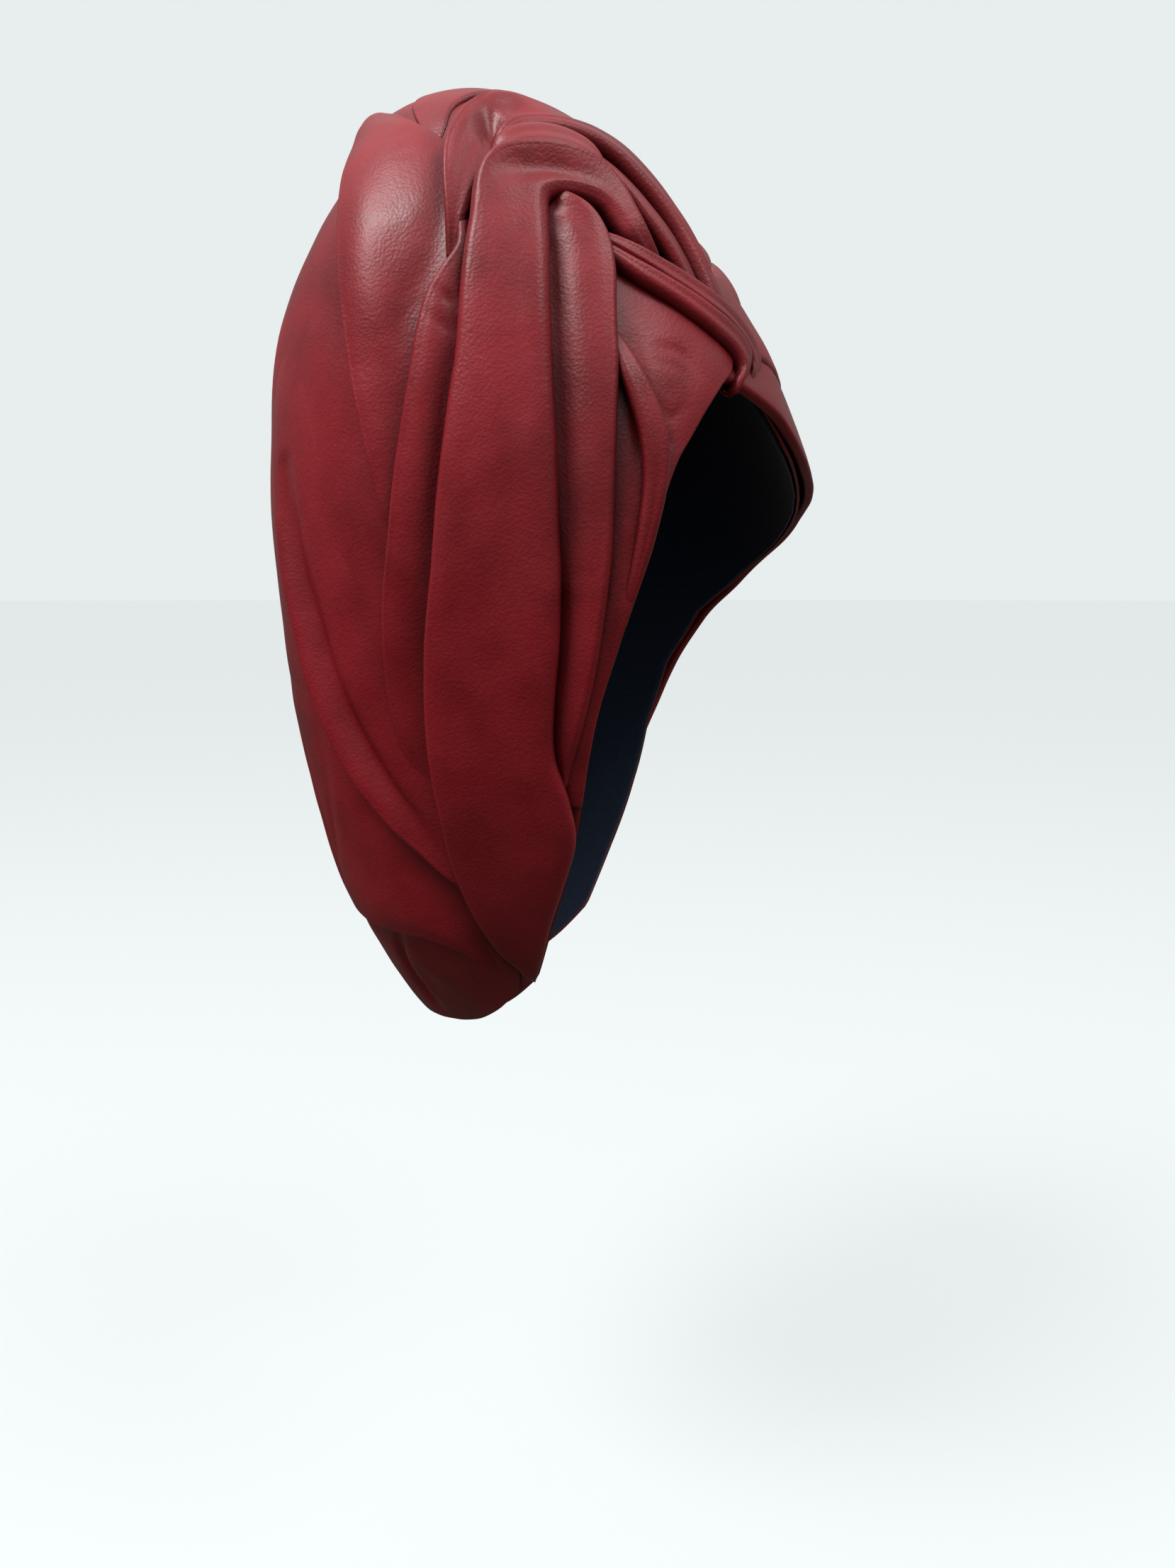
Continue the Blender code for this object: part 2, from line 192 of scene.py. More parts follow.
def smooth_noise(points: np.ndarray, size_mm: float, seed: float) -> np.ndarray:
    """Give soft noise at some points.

    Args:
        points: Points in metres.
        size_mm: The size of its lumps.
        seed: A shift, so that two noises differ.

    Returns:
        One value from about -1 to 1 for each point.
    """
    scaled = points.reshape(-1, 3) / (size_mm * MM) + seed
    values = [noise.noise(Vector(point)) for point in scaled]
    return np.array(values).reshape(points.shape[:-1])


@dataclass(frozen=True)
class Crease:
    """A crease, dent or ridge pressed into the leather along a line of places.

    The line has rows of down and turn. Depth, width and the lift of its spots over the form are in
    millimetres, and a ridge has a negative depth. The step between spots is a share of the width,
    and a crease fades towards its ends as a half wave does, from the share `ends` of it.
    """

    line: Table
    depth: float
    width: float
    fewest: int = 12
    step: float = 0.3
    lift: float = 4.0
    ends: float = 0.12

    def spots(self) -> np.ndarray:
        """Give even points along the line, at about the height where the leather lies.

        Returns:
            Points in metres, a share of the crease's width apart.
        """
        rows = np.array(self.line, float)
        flat = to_plane(rows[:, 0], rows[:, 1])
        both = np.stack([flat.real, flat.imag], -1)
        rough = spline(both, np.linspace(0, 1, self.fewest))
        rough = FORM.place(*from_plane(rough[:, 0] + 1j * rough[:, 1]))
        length = np.linalg.norm(np.diff(rough, axis=0), axis=-1).sum()
        count = max(self.fewest, int(length / (self.step * self.width * MM)))
        both = spline(both, np.linspace(0, 1, count))
        down, turn = from_plane(both[:, 0] + 1j * both[:, 1])
        return FORM.place(down, turn) + FORM.outward(down, turn) * self.lift * MM

    def pressed(self, points: np.ndarray) -> np.ndarray:
        """Give how far the leather sinks at each point.

        Args:
            points: Points of the leather in metres.

        Returns:
            Depths in metres, negative where the leather rises.
        """
        spots = self.spots()
        along = self.ends + (1 - 2 * self.ends) * np.linspace(0, 1, len(spots))
        sunk = np.zeros(points.shape[:-1])
        reach = self.width * MM
        for spot, share in zip(spots, np.sin(np.pi * along)):
            gap = np.linalg.norm(points - spot, axis=-1)
            sunk = np.maximum(sunk, share * np.exp(-((gap / reach) ** 2)))
        return sunk * self.depth * MM


# Laid leather


class Edge(Enum):
    """How a long edge of a panel ends."""

    ROLLED = "folded under in a soft lip"
    TUCKED = "run on flat under its neighbour"


@dataclass(frozen=True)
class Rows:
    """The rows of a strip: both edge lines laid out flat, then sizes in metres at each row."""

    one: np.ndarray
    two: np.ndarray
    high_one: np.ndarray
    high_two: np.ndarray
    width: np.ndarray
    lip: np.ndarray
    tuck: np.ndarray

    @property
    def inset(self) -> np.ndarray:
        """Give the lip's radius as a share of the width."""
        return self.lip / np.maximum(self.width, 1e-6)

    def side(self, far: bool) -> tuple[np.ndarray, np.ndarray, np.ndarray]:
        """Give one edge line, the other one, and the height of the first of them."""
        if far:
            return self.two, self.one, self.high_two
        return self.one, self.two, self.high_one


@dataclass(frozen=True)
class Panel:
    """One strip of leather, laid between two edge lines.

    A station has down and turn of one edge, down and turn of the other, and the rise of each. The
    profile has rows of a place across and a share of the rise. Rises, lips, tucks, the spacing of
    the grid and the waves are in millimetres, and the curl of a lip is in degrees. A lip's radius is
    at most a share of the width, and a low lip may reach only as deep as `buried`.
    """

    name: str
    stations: Table
    profile: Table = ((0.0, 0.95), (0.2, 1.0), (0.5, 0.97), (0.8, 1.0), (1.0, 0.95))
    first: Edge = Edge.ROLLED
    second: Edge = Edge.ROLLED
    lip: float = 1.5
    tuck: float = 4.0
    spacing: float = 1.15
    waves: float = 0.35
    creases: tuple[Crease, ...] = ()
    fewest: int = 8
    curl: float = 190.0
    most_lip: float = 0.34
    least_lip: float = 0.3
    buried: float = 1.6
    wave_length: float = 24.0
    ripple_length: float = 9.0

    def edges(self, at: np.ndarray) -> tuple[np.ndarray, ...]:
        """Read the two edge lines and their heights along the strip.

        Args:
            at: Places along the strip, from 0 to 1.

        Returns:
            Both edges laid out flat, then both heights in metres.
        """
        rows = np.array(self.stations, float)
        one = to_plane(rows[:, 0], rows[:, 1])
        two = to_plane(rows[:, 2], rows[:, 3])
        table = np.stack([one.real, one.imag, two.real, two.imag, rows[:, 4], rows[:, 5]], -1)
        read = spline(table, at)
        return read[:, 0] + 1j * read[:, 1], read[:, 2] + 1j * read[:, 3], read[:, 4] * MM, read[:, 5] * MM

    def share(self, across: np.ndarray) -> np.ndarray:
        """Read the height of the profile across the strip."""
        rows = np.array(self.profile, float)
        fine = np.linspace(0, 1, 8 * len(rows))
        read = spline(rows, fine)
        return np.interp(across, read[:, 0], read[:, 1])

    def surface(self) -> np.ndarray:
        """Lay the strip on the form.

        Returns:
            A grid of points, along by across, in metres.
        """
        at, columns = self._spaced()
        rows = self._rows(at)
        start = rows.inset if self.first is Edge.ROLLED else np.zeros(len(at))
        stop = 1 - rows.inset if self.second is Edge.ROLLED else np.ones(len(at))
        across = start[:, None] + (stop - start)[:, None] * np.linspace(0, 1, columns)[None, :]
        strips = [self._edge(rows, False), self._middle(rows, across), self._edge(rows, True)]
        return self._relief(np.concatenate(strips, 1))

    def _spaced(self) -> tuple[np.ndarray, int]:
        """Space the grid evenly.

        Returns:
            Places along the strip, from 0 to 1, and the count of columns across it.
        """
        rough = np.linspace(0, 1, 200)
        one, two, *_ = self.edges(rough)
        one, two = FORM.place(*from_plane(one)), FORM.place(*from_plane(two))
        middle = 0.5 * (one + two)
        travelled = np.r_[0, np.cumsum(np.linalg.norm(np.diff(middle, axis=0), axis=-1))]
        count = max(self.fewest, int(travelled[-1] / (self.spacing * MM)))
        at = np.interp(np.linspace(0, travelled[-1], count), travelled, rough)
        widest = np.linalg.norm(one - two, axis=-1).max()
        return at, max(self.fewest, int(widest / (self.spacing * MM)))

    def _rows(self, at: np.ndarray) -> Rows:
        """Read the strip at some places along it, with the lip that each leaves room for.

        Args:
            at: Places along the strip, from 0 to 1.

        Returns:
            The strip's rows. A lip is smaller where the strip is narrow or low, so that it
            doesn't come through the lining.
        """
        one, two, high_one, high_two = self.edges(at)
        width = np.linalg.norm(FORM.place(*from_plane(one)) - FORM.place(*from_plane(two)), axis=-1)
        lip = np.minimum(self.lip * MM, self.most_lip * width)
        for edge, high, place in ((self.first, high_one, 0.0), (self.second, high_two, 1.0)):
            if edge is Edge.ROLLED:
                low = high * self.share(np.array([place]))[0]
                room = 0.5 * (low + self.buried * MM)
                lip = np.minimum(lip, np.maximum(room, self.least_lip * MM))
        tuck = np.minimum(self.tuck * MM, 0.6 * width)
        return Rows(one, two, high_one, high_two, width, lip, tuck)

    def _middle(self, rows: Rows, across: np.ndarray) -> np.ndarray:
        """Lay the part of the strip between its edges, at the height of its profile."""
        flat = rows.one[:, None] * (1 - across) + rows.two[:, None] * across
        down, turn = from_plane(flat)
        high = rows.high_one[:, None] * (1 - across) + rows.high_two[:, None] * across
        high = high * self.share(across)
        return FORM.place(down, turn) + FORM.outward(down, turn) * high[..., None]

    def _edge(self, rows: Rows, far: bool) -> np.ndarray:
        """Lay one long edge of the strip.

        Args:
            rows: The strip's rows.
            far: Whether it is the second edge.

        Returns:
            A grid of points for the edge, ordered as the strip is.
        """
        edge = self.second if far else self.first
        points = self._flap(rows, far) if edge is Edge.TUCKED else self._curled_lip(rows, far)
        return points if far else points[:, ::-1]

    def _flap(self, rows: Rows, far: bool) -> np.ndarray:
        """Run the leather on past an edge, sinking, so that its neighbour covers it.

        Args:
            rows: The strip's rows.
            far: Whether it is the second edge.

        Returns:
            A grid of points, from the edge outwards.
        """
        here, other, high = rows.side(far)
        steps = np.linspace(0, 1, 5)[1:]
        reach = rows.tuck / np.maximum(rows.width, 1e-6)
        down, turn = from_plane(here[:, None] + (here - other)[:, None] * reach[:, None] * steps)
        start = high * self.share(np.array([float(far)]))[0]
        fall = start[:, None] * (1 - 0.6 * steps) - 0.2 * MM
        return FORM.place(down, turn) + FORM.outward(down, turn) * fall[..., None]

    def _curled_lip(self, rows: Rows, far: bool) -> np.ndarray:
        """Roll the leather over at an edge and lead it back under the strip.

        Args:
            rows: The strip's rows.
            far: Whether it is the second edge.

        Returns:
            A grid of points, from the edge round and under.
        """
        here, other, high = rows.side(far)
        down, turn = from_plane(here + (other - here) * rows.inset)
        normal = FORM.outward(down, turn)
        base = FORM.place(down, turn)
        pull = FORM.place(*from_plane(here)) - base
        pull -= normal * (pull * normal).sum(-1, keepdims=True)
        pull /= np.linalg.norm(pull, axis=-1, keepdims=True) + 1e-9
        share = self.share(1 - rows.inset if far else rows.inset)
        centre = base + normal * (high * share - rows.lip)[:, None]
        angles = np.radians(np.linspace(0, self.curl, 12))[1:]
        bend = centre[:, None] + rows.lip[:, None, None] * (
            pull[:, None] * np.sin(angles)[:, None] + normal[:, None] * np.cos(angles)[:, None]
        )
        back = np.linspace(0, 1, 4)[1:]
        under = bend[:, -1:] - pull[:, None] * rows.tuck[:, None, None] * back[:, None]
        return np.concatenate([bend, under], 1)

    def _relief(self, grid: np.ndarray) -> np.ndarray:
        """Press the creases and the slow waves of soft leather into the strip."""
        away = away_from_head(grid)
        seed = float(sum(map(ord, self.name)) % 97)
        lift = smooth_noise(grid, self.wave_length, seed) * self.waves
        lift += smooth_noise(grid, self.ripple_length, seed + 3.7) * 0.3 * self.waves
        moved = grid + away * (lift * MM)[..., None]
        for crease in self.creases:
            moved -= away * crease.pressed(grid)[..., None]
        return moved


class LeatherCutter:
    """Cuts panels flat and gives them their worn shape."""

    def __init__(self) -> None:
        """Start with nothing cut."""
        self.flat_area: float = 0.0

    def cut(self, name: str, grid: np.ndarray) -> bpy.types.Object:
        """Make one panel from a flat grid and move it to its worn points.

        Args:
            name: The piece's name.
            grid: Worn points, along by across.

        Returns:
            The panel, one layer thick and without its wall.
        """
        rows, columns = grid.shape[:2]
        bpy.ops.object.select_all(action="DESELECT")
        bpy.ops.mesh.primitive_grid_add(
            x_subdivisions=columns - 1, y_subdivisions=rows - 1, size=1.0, calc_uvs=True
        )
        panel = bpy.context.active_object
        panel.name = name
        mesh = panel.data
        mesh.name = name
        flat = np.empty(len(mesh.vertices) * 3)
        mesh.vertices.foreach_get("co", flat)
        flat = flat.reshape(-1, 3)
        column = np.rint((flat[:, 0] + 0.5) * (columns - 1)).astype(int)
        row = np.rint((flat[:, 1] + 0.5) * (rows - 1)).astype(int)
        mesh.vertices.foreach_set("co", grid[row, column].ravel())
        self._scale_uv(mesh, grid, row, column)
        mesh.update()
        self._face_out(mesh)
        return panel

    def _scale_uv(self, mesh: bpy.types.Mesh, grid: np.ndarray, row: np.ndarray, column: np.ndarray) -> None:
        """Write the panel's flat lengths, in metres, to its UV map."""
        along = np.linalg.norm(np.diff(grid, axis=0), axis=-1).mean(1)
        across = np.linalg.norm(np.diff(grid, axis=1), axis=-1).mean(0)
        along = np.r_[0, np.cumsum(along)]
        across = np.r_[0, np.cumsum(across)]
        loops = np.empty(len(mesh.loops), dtype=int)
        mesh.loops.foreach_get("vertex_index", loops)
        values = np.stack([across[column[loops]], along[row[loops]]], -1)
        mesh.uv_layers.active.data.foreach_set("uv", values.ravel())

    def _face_out(self, mesh: bpy.types.Mesh) -> None:
        """Turn the panel's faces away from the head."""
        count = len(mesh.polygons)
        centres = np.empty(count * 3)
        normals = np.empty(count * 3)
        areas = np.empty(count)
        mesh.polygons.foreach_get("center", centres)
        mesh.polygons.foreach_get("normal", normals)
        mesh.polygons.foreach_get("area", areas)
        away = centres.reshape(-1, 3) - HEAD_MIDDLE
        self.flat_area = float(areas.sum())
        facing = ((away * normals.reshape(-1, 3)).sum(-1) * areas).sum()
        if facing < 0:
            bpy.ops.object.mode_set(mode="EDIT")
            bpy.ops.mesh.select_all(action="SELECT")
            bpy.ops.mesh.flip_normals()
            bpy.ops.object.mode_set(mode="OBJECT")


def close_joins(piece: bpy.types.Object) -> None:
    """Merge the vertices that meet at a pole or a seam."""
    bpy.ops.object.select_all(action="DESELECT")
    piece.select_set(True)
    bpy.context.view_layer.objects.active = piece
    bpy.ops.object.mode_set(mode="EDIT")
    bpy.ops.mesh.select_all(action="SELECT")
    bpy.ops.mesh.remove_doubles(threshold=2e-5)
    bpy.ops.object.mode_set(mode="OBJECT")


def give_wall(piece: bpy.types.Object, wall: float) -> None:
    """Give a panel its thickness, inwards, and shade it smooth.

    Args:
        piece: The panel.
        wall: The leather's thickness in metres.
    """
    bpy.ops.object.select_all(action="DESELECT")
    piece.select_set(True)
    bpy.context.view_layer.objects.active = piece
    modifier = piece.modifiers.new("wall", "SOLIDIFY")
    modifier.thickness = wall
    modifier.offset = -1.0
    bpy.ops.object.modifier_apply(modifier=modifier.name)
    bpy.ops.object.shade_smooth()


def join(pieces: list[bpy.types.Object], name: str) -> bpy.types.Object:
    """Join panels into one piece.

    Args:
        pieces: The panels.
        name: The joined piece's name.

    Returns:
        The joined piece.
    """
    bpy.ops.object.select_all(action="DESELECT")
    for piece in pieces:
        piece.select_set(True)
    bpy.context.view_layer.objects.active = pieces[0]
    if len(pieces) > 1:
        bpy.ops.object.join()
    joined = bpy.context.active_object
    joined.name = name
    joined.data.name = name
    return joined


# Finishes


def linear(code: str) -> tuple[float, float, float, float]:
    """Turn an sRGB hex colour into a linear one."""
    parts = [int(code[place : place + 2], 16) / 255 for place in (0, 2, 4)]
    light = [part / 12.92 if part <= 0.04045 else ((part + 0.055) / 1.055) ** 2.4 for part in parts]
    return (*light, 1.0)


def add_node(
    tree: bpy.types.NodeTree, kind: str, links: dict[str | int, object] | None = None, **settings: object
) -> bpy.types.Node:
    """Add a node with its settings and links.

    Args:
        tree: The material's nodes.
        kind: The node's type name.
        links: Socket names or numbers, each with an output socket or a plain value.
        settings: Attributes of the node.

    Returns:
        The new node.
    """
    node = tree.nodes.new(kind)
    for key, value in settings.items():
        setattr(node, key, value)
    for key, value in (links or {}).items():
        if isinstance(value, bpy.types.NodeSocket):
            tree.links.new(value, node.inputs[key])
        else:
            node.inputs[key].default_value = value
    return node


def blank_material(name: str) -> bpy.types.Material:
    """Make a material with no nodes in it."""
    material = bpy.data.materials.new(name)
    material.use_nodes = True
    material.node_tree.nodes.clear()
    return material


@dataclass(frozen=True)
class NappaLeather:
    """Soft sheep nappa, drum dyed and plated, with a thin waxy top coat.

    It gives the eye a deep red that clouds a little, broad soft highlights that the grain breaks
    up, and painted shade: a darker red in the depth of the folds, read from ambient occlusion.
    """

    name: str
    light: str
    body: str
    deep: str
    roughness: float = 0.4
    # A little coarser than real grain, or it would not show
    grain_mm: float = 0.75
    speck_mm: float = 2.2
    wrinkle_mm: float = 3.2
    mottle_mm: float = 14.0
    cloud_mm: float = 55.0
    # How far the painted fold shade reaches, and the darkest tone it paints into the colour
    fold_shade_reach_mm: float = 16.0
    fold_shade_tone: float = 0.24

    def make(self) -> bpy.types.Material:
        """Make the material.

        Returns:
            The leather, with colour clouds, painted shade in the folds, grain, fine creases and a satin coat.
        """
        material = blank_material(self.name)
        tree = material.node_tree
        where = add_node(tree, "ShaderNodeTexCoord")
        spot = where.outputs["Object"]
        mottle = self._noise(tree, spot, self.mottle_mm, 4.0)
        rough = add_node(
            tree,
            "ShaderNodeMapRange",
            {
                "Value": mottle,
                "From Min": 0.3,
                "From Max": 0.7,
                "To Min": self.roughness - 0.05,
                "To Max": self.roughness + 0.09,
            },
        )
        shader = add_node(
            tree,
            "ShaderNodeBsdfPrincipled",
            {
                # The base colour carries painted shade in the folds, from ambient occlusion
                "Base Color": self._folds(tree, self._dye(tree, spot, mottle)),
                "Roughness": rough.outputs[0],
                "Normal": self._bump(tree, spot, where.outputs["UV"]),
                "IOR": 1.48,
                "Specular IOR Level": 0.36,
                "Coat Weight": 0.08,
                "Coat Roughness": 0.30,
            },
        )
        add_node(tree, "ShaderNodeOutputMaterial", {"Surface": shader.outputs[0]})
        return material

    def _dye(
        self, tree: bpy.types.NodeTree, spot: bpy.types.NodeSocket, mottle: bpy.types.NodeSocket
    ) -> bpy.types.NodeSocket:
        """Colour the hide in clouds and specks.

        Args:
            tree: The material's nodes.
            spot: Object coordinates.
            mottle: The middle-sized noise.

        Returns:
            The colour.
        """
        cloud = self._noise(tree, spot, self.cloud_mm, 3.0)
        part = add_node(tree, "ShaderNodeMath", {0: mottle, 1: 0.35}, operation="MULTIPLY")
        mixed = add_node(
            tree, "ShaderNodeMath", {0: cloud, 1: 0.65, 2: part.outputs[0]}, operation="MULTIPLY_ADD"
        )
        ramp = add_node(tree, "ShaderNodeValToRGB", {"Fac": mixed.outputs[0]})
        stops = ramp.color_ramp.elements
        stops[0].position, stops[0].color = 0.36, linear(self.deep)
        stops[1].position, stops[1].color = 0.64, linear(self.light)
        stops.new(0.5).color = linear(self.body)
        speck = self._noise(tree, spot, self.speck_mm, 2.0)
        tone = add_node(tree, "ShaderNodeMapRange", {"Value": speck, "To Min": 0.86, "To Max": 1.12})
        return self._toned(tree, ramp.outputs["Color"], tone.outputs[0])

    def _folds(self, tree: bpy.types.NodeTree, colour: bpy.types.NodeSocket) -> bpy.types.NodeSocket:
        """Paint shade into the colour in the depth of the folds, from ambient occlusion."""
        # Painted shade: ambient occlusion darkens the leather's colour in creases and under lips
        fold = add_node(tree, "ShaderNodeAmbientOcclusion", {"Distance": self.fold_shade_reach_mm * MM}, samples=8)
        tone = add_node(
            tree,
            "ShaderNodeMapRange",
            {"Value": fold.outputs["AO"], "From Min": 0.25, "From Max": 0.95, "To Min": self.fold_shade_tone},
        )
        return self._toned(tree, colour, tone.outputs[0])

    def _toned(
        self, tree: bpy.types.NodeTree, colour: bpy.types.NodeSocket, tone: bpy.types.NodeSocket
    ) -> bpy.types.NodeSocket:
        """Multiply a colour by a value."""
        grey = add_node(tree, "ShaderNodeCombineColor", {0: tone, 1: tone, 2: tone})
        toned = add_node(
            tree,
            "ShaderNodeMix",
            {"Factor": 1.0, 6: colour, 7: grey.outputs[0]},
            data_type="RGBA",
            blend_type="MULTIPLY",
        )
        return toned.outputs[2]

    def _noise(
        self, tree: bpy.types.NodeTree, spot: bpy.types.NodeSocket, size_mm: float, detail: float
    ) -> bpy.types.NodeSocket:
        """Add a noise whose lumps have a real size."""
        scale = 1000 / size_mm
        links = {"Vector": spot, "Scale": scale, "Detail": detail, "Roughness": 0.55}
        return add_node(tree, "ShaderNodeTexNoise", links).outputs["Fac"]

    def _bump(
        self, tree: bpy.types.NodeTree, spot: bpy.types.NodeSocket, flat: bpy.types.NodeSocket
    ) -> bpy.types.NodeSocket:
        """Add pebble grain, and fine creases that run with the fold.

        Args:
            tree: The material's nodes.
            spot: Object coordinates.
            flat: The panel's flat coordinates, in metres.

        Returns:
            The bumped normal.
        """
        pebble = add_node(
            tree, "ShaderNodeTexVoronoi", {"Vector": spot, "Scale": 1000 / self.grain_mm}, feature="SMOOTH_F1"
        )
        soft = self._noise(tree, spot, self.wrinkle_mm, 3.0)
        stretched = add_node(tree, "ShaderNodeMapping", {"Vector": flat, "Scale": (1.0, 0.28, 1.0)})
        lines = self._noise(tree, stretched.outputs[0], self.wrinkle_mm, 3.0)
        normal = None
        for height, strength, distance in (
            (lines, 0.045, 0.0010),
            (soft, 0.025, 0.0008),
            (pebble.outputs["Distance"], 0.28, 0.00032),
        ):
            links = {"Strength": strength, "Distance": distance, "Height": height}
            if normal is not None:
                links["Normal"] = normal
            normal = add_node(tree, "ShaderNodeBump", links).outputs[0]
        return normal


@dataclass(frozen=True)
class LiningCotton:
    """Plain woven cotton lining, piece dyed navy.

    It gives the eye a matt, almost black blue, with a thread grid that just shows.
    """

    name: str = "woven_navy_cotton"
    dark: str = "14243A"
    light: str = "263C5A"
    # Twice as coarse as the real thread, or it would not show
    thread_mm: float = 0.9

    def make(self) -> bpy.types.Material:
        """Make the material.

        Returns:
            The cotton, with a weave in its colour and its bump.
        """
        material = blank_material(self.name)
        tree = material.node_tree
        flat = add_node(tree, "ShaderNodeTexCoord").outputs["UV"]
        threads = [
            add_node(
                tree,
                "ShaderNodeTexWave",
                {"Vector": flat, "Scale": 100 * np.pi / self.thread_mm, "Distortion": 0.6},
                bands_direction=way,
            ).outputs["Fac"]
            for way in ("X", "Y")
        ]
        crossed = add_node(tree, "ShaderNodeMath", {0: threads[0], 1: threads[1]}, operation="MULTIPLY")
        weave = crossed.outputs[0]
        colour = add_node(tree, "ShaderNodeValToRGB", {"Fac": weave})
        colour.color_ramp.elements[0].color = linear(self.dark)
        colour.color_ramp.elements[1].color = linear(self.light)
        bump = add_node(tree, "ShaderNodeBump", {"Strength": 0.5, "Distance": 0.0002, "Height": weave})
        shader = add_node(
            tree,
            "ShaderNodeBsdfPrincipled",
            {
                "Base Color": colour.outputs[0],
                "Roughness": 0.85,
                "Sheen Weight": 0.2,
                "Normal": bump.outputs[0],
            },
        )
        add_node(tree, "ShaderNodeOutputMaterial", {"Surface": shader.outputs[0]})
        return material


# Sub-assemblies

# The crown sags behind the rear panel, so that the panel's top corner stands proud
CROWN_SAG = (Crease(((0.20, 70.0), (0.14, 62.0), (0.08, 50.0), (0.05, 0.0)), 1.5, 15.0),)


@dataclass
class WrapPart:
    """A part of the wrap: panels of leather that stand for one CAD node."""

    leather: bpy.types.Material
    name: str = ""
    nodes: tuple[str, ...] = ()
    held: str = "folded"
    panels: tuple[Panel, ...] = ()
    wall: float = 0.0008
    slot: str = "leather"

    def build(self) -> bpy.types.Object:
        """Cut, lay and dress the part.

        Returns:
            The finished piece.
        """
        cutter = LeatherCutter()
        cut: list[bpy.types.Object] = []
        length = 0.0
        for panel in self.panels:
            grid = panel.surface()
            cut.append(cutter.cut(f"{self.name}_{panel.name}", grid))
            length = max(length, float(np.linalg.norm(np.diff(grid, axis=0), axis=-1).sum(0).max()))
            give_wall(cut[-1], self.wall)
        piece = join(cut, self.name)
        piece.data.materials.clear()
        piece.data.materials.append(self.leather)
        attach(piece, "root")
        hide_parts(*self.nodes)
        return piece


